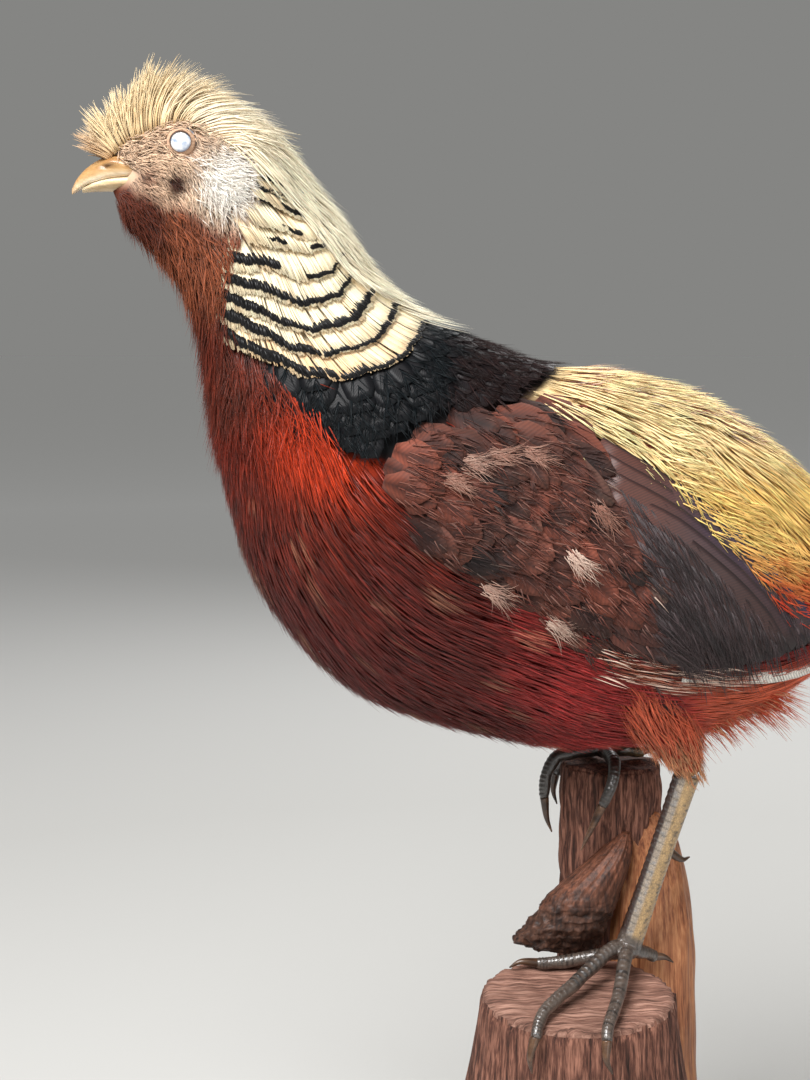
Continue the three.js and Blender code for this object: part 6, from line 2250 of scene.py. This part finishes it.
class Tail:
    """Eighteen graduated tail feathers and the narrow scarlet coverts over them."""

    ROOT = (112.0, 319.5)
    LENGTHS = (664, 570, 480, 400, 330, 270, 222, 186, 160)
    WIDTHS = (29, 27, 25, 23, 22, 21, 20, 19, 18)
    SLOPES = (math.tan(math.radians(20)), math.tan(math.radians(26)))
    LEVEL = 610.0
    LAYER, VAULT, SPLAY = 1.4, 0.42, 0.016

    def __init__(self, rng: np.random.Generator, finishes: dict[str, bpy.types.Material]) -> None:
        """Keeps the random source and the finishes."""
        self.rng = rng
        self.finishes = finishes

    def line(self, distance: Array) -> Array:
        """Height of the tail's middle line behind its root, millimetres."""
        first, last = self.SLOPES
        return self.ROOT[1] - first * distance - (last - first) / (2 * self.LEVEL) * distance ** 2

    def build(self) -> None:
        """Makes every tail feather, then the coverts."""
        for side in Side:
            for rank in range(len(self.LENGTHS)):
                self._feather(rank, side)
        for side in Side:
            self._coverts(side)

    def _feather(self, rank: int, side: Side) -> None:
        """Makes one tail feather that stands for its node."""
        reach = self.LENGTHS[rank] * 0.92
        k, columns = (80 if rank < 3 else 46), 11
        t, s = np.linspace(0, 1, k), np.linspace(0, 1, columns)
        d = reach * t
        inner = 0.15 + rank * (0.4 + d * self.SPLAY)
        tip = np.sqrt(np.clip(1 - smooth(0.7, 1, t) ** 1.6, 0, 1))
        full = 6 + (self.WIDTHS[rank] - 6) * smooth(0, 0.28, t)
        width = full * np.maximum(tip, 0.2)
        shaft = 0.34
        y = inner[:, None] + width[:, None] * s[None]
        ripple = 0.18 * np.sin(d[:, None] * 0.9 + 5 * s[None]) * s[None]
        ragged = (self.rng.random((k, 1)) - 0.5) * 0.9 * (s[None] > 0.98)
        z = (self.line(d)[:, None] - self.LAYER * rank - y * self.VAULT - 0.3 + ripple
             - 1.1 * np.abs(s[None] - shaft) ** 1.5)
        ridge = 0.55 * np.exp(-((y - inner[:, None] - shaft * width[:, None]) / 0.8) ** 2)
        x = self.ROOT[0] + d[:, None] - 4.0 * np.abs(s[None] - shaft) * (1 - t[:, None])
        top = np.stack([x, side.value * (y + ragged), z + ridge], axis=-1)
        low = np.stack([x, side.value * (y + ragged), z - 0.35], axis=-1)
        both = np.stack([top, low]).reshape(-1, 3) * MM
        cell = (np.arange(k - 1)[:, None] * columns + np.arange(columns - 1)[None]).ravel()
        over = k * columns
        rim = np.concatenate([np.arange(columns), columns - 1 + columns * np.arange(1, k),
                              over - 2 - np.arange(columns - 1), columns * np.arange(k - 2, 0, -1)])
        after = np.roll(rim, -1)
        quads = np.concatenate([np.stack([cell, cell + 1, cell + columns + 1, cell + columns], 1),
                                np.stack([cell, cell + columns, cell + columns + 1, cell + 1], 1) + over,
                                np.stack([after, rim, rim + over, after + over], 1)])
        if side is Side.LEFT:
            quads = quads[:, ::-1]
        base = np.tile(np.array(Tint.TAIL_DARK), (k, columns, 1))
        quill = np.exp(-((y - inner[:, None] - shaft * width[:, None]) / 0.9) ** 2)[..., None]
        tone = base * (1 - quill) + np.array(srgb("6b4526")) * quill
        colours = np.stack([tone, tone * 1.3]).reshape(-1, 3)
        spot = np.stack(np.broadcast_arrays(0.02 + 0.96 * t[:, None], 0.02 + 0.46 * s[None]), axis=-1)
        lower = spot + [0, 0.5]
        vane = np.stack(np.broadcast_arrays((y - inner[:, None] - shaft * width[:, None]), d[:, None]), axis=-1) * MM
        coat = CoatMesh(f"tail_plume_{rank + 1}_{side.label}", "tail_feather")
        coat.add(both, quads, np.zeros((0, 3), int), colours, np.stack([spot, lower]).reshape(-1, 2),
                 np.stack([vane, vane]).reshape(-1, 2))
        look = self.finishes["spotted" if rank == 0 else "barred"]
        dress(coat.build(look), "tail_feather", f"tail_{rank + 1}_{side.label}")

    def _coverts(self, side: Side) -> None:
        """Narrow scarlet blades laid over the tail's shoulder."""
        coat = CoatMesh(f"tail_coverts_plumage_{side.label}", "tail_covert")
        n, k = 64, 12
        t = np.linspace(0, 1, k)[None]
        start = np.sort(self.rng.uniform(-34, 95, n))[:, None]
        reach = (62 + 50 * self.rng.random(n))[:, None]
        y0 = (0.6 + 13.5 * self.rng.random(n))[:, None]
        d = start + reach * t
        y = y0 * (1 - 0.1 * t) + 3.5 * np.maximum(d, 0) / 215
        profile = 6.0 * smooth(215, 0, d) * (0.3 + 0.7 * self.rng.random((n, 1)))
        z = self.line(np.maximum(d, -40)) - y * self.VAULT + 1.2 + profile * np.clip(1.3 - t, 0, 1)
        path = np.stack([self.ROOT[0] + d, side.value * y, z], axis=-1) * MM
        normal = unit(np.stack([0.35 + 0 * d, side.value * (0.38 + 0 * d), 0.9 + 0 * d], axis=-1))
        red = np.tile(np.array(Tint.SCARLET), (n, 1)) * (0.7 + 0.5 * self.rng.random((n, 1)))

        def tint(s: Array, tt: Array) -> Array:
            quill = np.exp(-(s / 0.14) ** 2)[..., None]
            root = smooth(0.45, 0.0, tt)[..., None]
            body = red[:, None, None] * (1 - root) + np.array(Tint.GOLD_DEEP) * root * 0.8
            return body * (1 - 0.6 * quill) + np.array(Tint.FAWN) * 0.6 * quill

        spot = np.zeros((n, 4))
        spot[:, 0] = 0.02 + (np.arange(n) % 16) * 0.06
        spot[:, 1] = 0.02 + (np.arange(n) // 16) * 0.24
        spot[:, 2], spot[:, 3] = 0.045, 0.2
        cut = Cut(neck=0.5, widest=0.3, tip=0.15, blunt=1.1, camber=0.25, thickness=0.3)
        add_vanes(coat, path, normal, np.full(n, 3.4 * MM), cut, tint, spot)
        dress(coat.build(self.finishes["vane"]), "tail_covert", f"tail_covert_{side.label}")


# ------------------------------------------------------------------ timber


def fibres(angle: Array, z: Array, seed: float, count: int = 46) -> Array:
    """Long ridges that wander as they climb, from -1 to 1."""
    drift = 0.5 * np.sin(z * 31 + seed) + 0.3 * np.sin(z * 67 + 2 * seed)
    return (0.5 * np.sin(count * angle + 3 * drift + seed) + 0.3 * np.sin(2.3 * count * angle - 4 * drift + 2 * seed)
            + 0.2 * np.sin(4.1 * count * angle + 7 * drift))


class Perch:
    """The sawn stump, the broken upright, the heartwood limb and the side stub."""

    UPRIGHT = ((3.0, 15.0, 22.5, 30.0, 25.5), (40.0, 15.0, 22.5, 27.0, 23.5), (75.0, 15.5, 21.5, 24.0, 21.5),
               (130.0, 16.5, 20.5, 21.0, 19.5), (190.0, 17.0, 20.0, 20.5, 19.0), (236.0, 17.0, 20.0, 20.5, 19.0),
               (243.5, 17.0, 20.0, 19.0, 17.5))
    LIMB = ((3.0, 32.0, 8.5, 29.0, 27.0), (40.0, 32.0, 9.0, 26.5, 24.5), (75.0, 32.5, 10.0, 23.5, 21.5),
            (114.0, 32.0, 10.5, 20.5, 18.0), (168.0, 31.0, 11.5, 19.5, 16.0), (190.0, 30.0, 12.0, 18.3, 14.5),
            (212.0, 28.5, 12.5, 15.2, 11.0), (223.0, 27.0, 13.0, 10.5, 7.0), (227.0, 26.0, 13.0, 5.0, 4.0))
    STUB = ((173.4, -3.0, 1.5, 13.0, 7.0), (176.5, -5.6, 1.0, 18.0, 8.5), (181.5, -3.6, -1.0, 17.6, 10.3),
            (188.0, 0.5, -2.0, 16.0, 10.3), (193.0, 3.0, -2.0, 15.0, 10.0), (198.0, 6.0, -1.5, 13.0, 9.5),
            (208.0, 13.5, -0.5, 8.5, 8.0), (214.6, 18.0, 1.0, 5.3, 6.0), (220.0, 21.0, 3.0, 1.6, 3.0))
    TOP_TILT = math.tan(math.radians(10))

    def __init__(self, finishes: dict[str, bpy.types.Material]) -> None:
        """Keeps the finishes."""
        self.finishes = finishes

    def build(self) -> None:
        """Makes the four pieces of timber."""
        bark, sawn, heart, stub = (self.finishes[k] for k in ("bark", "sawn", "heart", "stub"))
        self._piece("stump_timber", 230, 115, self._stump, [bark, sawn], "bark", "perch_stump", self._stump_tone)
        self._piece("upright_timber", 110, 130, self._post(self.UPRIGHT, 1.1, 2.0, 30), [bark], "bark",
                    "perch_upright", None)
        self._piece("limb_timber", 110, 130, self._post(self.LIMB, 0.35, 5.0, 12), [heart], "heartwood",
                    "perch_heartwood", None)
        self._piece("stub_timber", 110, 80, self._stub, [stub], "bark", "perch_stub", self._stub_tone)

    def _piece(self, name: str, sides: int, rings: int, place: Callable[[Array, Array], Array],
               looks: list[bpy.types.Material], slot: str, node: str,
               tone: Callable[[Array], Array] | None) -> None:
        """Rolls one piece of timber and gives its sawn faces their own finish."""
        bm = bmesh.new()
        sleeve(bm, sides, rings, place)
        for face in bm.faces:
            centre = face.calc_center_median() / MM
            on_top = centre.z > 171.6 + self.TOP_TILT * centre.y - 2.6
            inside = math.hypot(centre.x / 38, (centre.y + 27) / 27) < 0.945
            face.material_index = 1 if len(looks) > 1 and on_top and inside else 0
        piece = finish_mesh(bm, name, looks, tone)
        dress(piece, slot, node)

    @classmethod
    def _stump(cls, turn: Array, rise: Array) -> Array:
        """Lobed root swell with a slanting sawn top; the last rings run in over the top."""
        wall = np.clip(rise / 0.82, 0, 1)
        inward = np.clip((rise - 0.82) / 0.18, 0, 1)
        angle = turn * 2 * math.pi
        flare = (1 - wall) ** 1.4
        lobe = 1 + 0.05 * flare * np.cos(5 * angle)
        half_x, half_y = 38 + 44 * flare, 27 + 47 * flare
        ridges = fibres(angle, wall * 0.17, 1.0, 34) * (0.35 + 1.5 * flare) * smooth(0, 0.03, wall)
        rim = np.stack([38 * np.cos(angle), 27 * np.sin(angle), 0 * angle], axis=1) * MM
        ragged = 0.5 + 0.5 * wobble(rim, 5.3 * MM, 1.0) + 0.35 * wobble(rim, 2.1 * MM, 4.0)
        chips = 1.1 * np.clip(ragged, 0, 1.2) * smooth(0.965, 1.0, wall) * smooth(0.10, 0.0, inward)
        shrink = 1 - inward * 0.995
        x = np.cos(angle) * (half_x * lobe + ridges - 1.4 - chips) * shrink
        y = -27 * (1 - flare) + np.sin(angle) * (half_y * lobe + ridges - 1.4 - chips) * shrink
        z = wall * (171.6 + cls.TOP_TILT * y)
        saw = 0.22 * np.sin(y * 2.1 + 0.8 * np.sin(x * 0.2)) + 0.25 * np.sin(x * 0.5 + y * 0.3)
        z = z + np.where(inward > 0.02, saw, 0.0) - chips * 0.7
        return np.stack([x, y, np.maximum(z, 0.0)], axis=1) * MM

    @staticmethod
    def _stump_tone(p: Array) -> Array:
        """Darker low on the root swell and at the crumbly rim of the sawn top."""
        low = smooth(120, 20, p[:, 2] / MM)
        tone = np.ones((len(p), 3)) * (1 - 0.25 * low)[:, None]
        edge = np.hypot(p[:, 0] / (38 * MM), (p[:, 1] + 27 * MM) / (27 * MM))
        crumb = smooth(0.86, 0.95, edge) * smooth(160, 166, p[:, 2] / MM) * (0.6 + 0.4 * wobble(p, 3 * MM, 2.0))
        return tone * (1 + 0.12 * wobble(p, 25 * MM, 3.0))[:, None] * (1 - 0.45 * crumb)[:, None]

    @staticmethod
    def _post(rows: tuple, rough: float, seed: float, count: int) -> Callable[[Array, Array], Array]:
        """A place function for a near-upright piece from rows of z, x, y and half sizes."""
        table = np.array(rows)

        def place(turn: Array, rise: Array) -> Array:
            u = np.clip(rise * 1.06, 0, 1) * (len(rows) - 1)
            inward = np.clip((rise * 1.06 - 1) / 0.06, 0, 1)
            row = spline(table, u)
            angle = turn * 2 * math.pi + 0.25 * np.sin(row[:, 0] * 0.012)
            ridges = fibres(angle, row[:, 0] * MM, seed, count) * rough
            ridges = ridges + 0.5 * rough * np.sin(row[:, 0] * 0.21 + 4 * np.sin(angle * 3)) - 0.9 * rough
            shrink = 1 - 0.98 * inward
            x = row[:, 1] + np.cos(angle) * (row[:, 3] + ridges) * shrink
            y = row[:, 2] + np.sin(angle) * (row[:, 4] + ridges) * shrink
            z = row[:, 0] + rough * 1.2 * np.sin(5 * angle + 1) * smooth(0.9, 1, rise) * (1 - inward)
            return np.stack([x, y, z], axis=1) * MM

        return place

    @classmethod
    def _stub(cls, turn: Array, rise: Array) -> Array:
        """Broken side branch: smooth where it leans on the upright, crumbly at its foot."""
        share = np.clip((rise - 0.05) / 0.92, 0, 1)
        shrink = np.clip(rise / 0.05, 0.02, 1) * np.clip((1 - rise) / 0.03, 0.02, 1)
        row = spline(np.array(cls.STUB), share * (len(cls.STUB) - 1))
        angle = turn * 2 * math.pi
        low = smooth(203, 184, row[:, 0])
        skin = np.stack([row[:, 1] + row[:, 3] * np.cos(angle), row[:, 4] * np.sin(angle), row[:, 0]], axis=1) * MM
        lumps = 1.3 * wobble(skin, 12 * MM, 2.0) + 0.9 * wobble(skin, 5 * MM, 5.0) + 0.5 * wobble(skin, 2.2 * MM, 7.0)
        ridges = 0.4 * fibres(angle, row[:, 0] * MM, 7.0, 9) * (1 - low) + low * (lumps - 1.4)
        x = row[:, 1] + np.cos(angle) * (row[:, 3] + ridges) * shrink
        y = row[:, 2] + np.sin(angle) * (row[:, 4] + ridges) * shrink
        z = row[:, 0] + 0.8 * low * wobble(skin, 4 * MM, 3.0) * (rise > 0.06)
        return np.stack([x, y, z], axis=1) * MM

    @staticmethod
    def _stub_tone(p: Array) -> Array:
        """Warm and polished above, grey and dirty at the broken foot."""
        low = smooth(204, 188, p[:, 2] / MM + 5 * wobble(p, 9 * MM, 3.0))
        grey = mix(np.ones((len(p), 3)), (0.5, 0.62, 0.72), low)
        pits = smooth(0.1, 0.7, wobble(p, 3.1 * MM, 6.0)) * low
        return grey * (1 - 0.6 * pits)[:, None]


# ------------------------------------------------------------------ studio


@dataclass(frozen=True)
class View:
    """Camera that stands at the left of the bird, looking along +Y and slightly down."""

    target_mm: tuple[float, float, float] = (-65.1, 0.0, 334.8)
    distance_mm: float = 620.0
    pitch_deg: float = 7.0
    focal_px: float = 1632.81
    tall_px: float = 1080.0

    def build(self) -> bpy.types.Object:
        """Makes the camera and sets it on the scene."""
        pitch = math.radians(self.pitch_deg)
        data = bpy.data.cameras.new("camera")
        data.sensor_width = 36.0
        data.lens = self.focal_px / self.tall_px * data.sensor_width
        data.clip_start = 0.01
        camera = bpy.data.objects.new("camera", data)
        away = Vector((0, -math.cos(pitch), math.sin(pitch))) * self.distance_mm * MM
        camera.location = Vector(self.target_mm) * MM + away
        camera.rotation_euler = (math.pi / 2 - pitch, 0, 0)
        bpy.context.scene.collection.objects.link(camera)
        bpy.context.scene.camera = camera
        return camera


@dataclass(frozen=True)
class Studio:
    """Pale floor painted lighter with distance, plain wall, and soft light from above."""

    wall: str = "858583"
    floor_half: float = 40.0

    def build(self) -> None:
        """Makes the floor, the sky and the lights."""
        world = bpy.data.worlds.new("studio")
        world.use_nodes = True
        back = world.node_tree.nodes["Background"]
        back.inputs[0].default_value = (*srgb(self.wall), 1)
        back.inputs[1].default_value = 1.0
        scene = bpy.context.scene
        scene.world = world
        scene.view_settings.view_transform = "Standard"
        bm = bmesh.new()
        bmesh.ops.create_grid(bm, x_segments=2, y_segments=2, size=self.floor_half)
        material, tree, shader = new_material("studio_floor", Roughness=0.95, Specular_IOR_Level=0.1)
        # Painted light: the floor's colour runs from light grey near the bird to white far off, so that the far floor
        # meets the wall's brightness.
        distance = tree.add("VectorMath", {0: object_coords(tree)}, operation="LENGTH").outputs[1]
        painted_far_light = tree.add("MapRange", {0: distance, 1: 0.8, 2: 3.5, 3: 0.0, 4: 1.0})
        tone = tree.blend(painted_far_light.outputs[0], (*srgb("c9c8c5"), 1), (1.0, 1.0, 1.0, 1))
        tree.tree.links.new(tone, shader.inputs["Base Color"])
        floor = finish_mesh(bm, "studio_floor", [material])
        self._lamp("key", (-0.55, -0.75, 1.35), (-0.02, 0.0, 0.38), 0.8, 36.0)
        self._lamp("fill", (0.9, -1.3, 0.7), (0.1, 0.0, 0.3), 1.2, 8.0)
        self._lamp("rim", (0.5, 1.3, 1.2), (0.1, 0.0, 0.35), 1.0, 12.0)

    @staticmethod
    def _lamp(name: str, at: tuple, target: tuple, size: float, watts: float) -> None:
        """Makes one square soft light."""
        data = bpy.data.lights.new(name, "AREA")
        data.size = size
        data.energy = watts
        lamp = bpy.data.objects.new(name, data)
        lamp.location = at
        lamp.rotation_euler = (Vector(target) - Vector(at)).to_track_quat("-Z", "Y").to_euler()
        bpy.context.scene.collection.objects.link(lamp)


def make_finishes() -> dict[str, bpy.types.Material]:
    """Every finish of the model by short name."""
    return {
        "silk": Plumage("silky_feather", roughness=0.45, sheen=0.05, vary=0.35).material(),
        "matte": Plumage("downy_feather", roughness=0.8, sheen=0.1, specular=0.15, vary=0.5).material(),
        "gloss": Plumage("glossy_feather", roughness=0.42, sheen=0.0, specular=0.4, vary=0.8).material(),
        "skin": Plumage("under_skin", roughness=0.8, sheen=0.0, specular=0.2, vary=0.6).material(),
        "vane": Vane("vaned_feather", furrow=0.22, roughness=0.45, rib=0.1).material(),
        "gloss_vane": Vane("glossy_vane", roughness=0.45, sheen=0.0, specular=0.18, furrow=0.3, barbs=6500.0,
                           rib=0.12).material(),
        "soft_vane": Vane("soft_vane", roughness=0.65, sheen=0.05, specular=0.2, barbs=3800.0).material(),
        "spotted": Vane("spotted_tail", spots=True).material(),
        "barred": Vane("barred_tail", bars=True).material(),
        "bill": Horn("bill_horn", "fffaf0", "dcc7a8").material(),
        "claw": Horn("claw_horn", "cbb7a4", "6f5c4d", roughness=0.28).material(),
        "scales": Scales("leg_scales").material(),
        "glass": Glass("milky_glass").material(),
        "bark": Timber("bark_wood", ("1d110d", "5a382d", "966856"), (120, 120, 8), 0.8, 0.0008, 0.5).material(),
        "sawn": Timber("sawn_wood", ("3f2a22", "785548", "ab8473"), (10, 170, 30), 0.85, 0.0006, 0.35).material(),
        "heart": Timber("heart_wood", ("6b3a26", "98603f", "b9825a"), (110, 110, 5), 0.42, 0.0003, 0.2).material(),
        "stub": Timber("stub_wood", ("2a1813", "5c3829", "83523d"), (60, 90, 12), 0.5, 0.0006, 0.4).material(),
    }


def main() -> None:
    """Builds the model in order and logs the size of the skin and of each feather piece."""
    logging.basicConfig(level=logging.INFO, format="%(message)s")
    finishes = make_finishes()
    rng = np.random.default_rng(2026)
    Skin(SkinSizes()).build(finishes["skin"], finishes["scales"])
    Bill().build(finishes["bill"])
    Eyes().build(finishes["glass"])
    Claws().build(finishes["claw"])
    Feathering(rng, finishes).build()
    Wings(rng, finishes).build()
    Tail(rng, finishes).build()
    Perch(finishes).build()
    Studio().build()
    View().build()


if __name__ == "__main__":
    main()
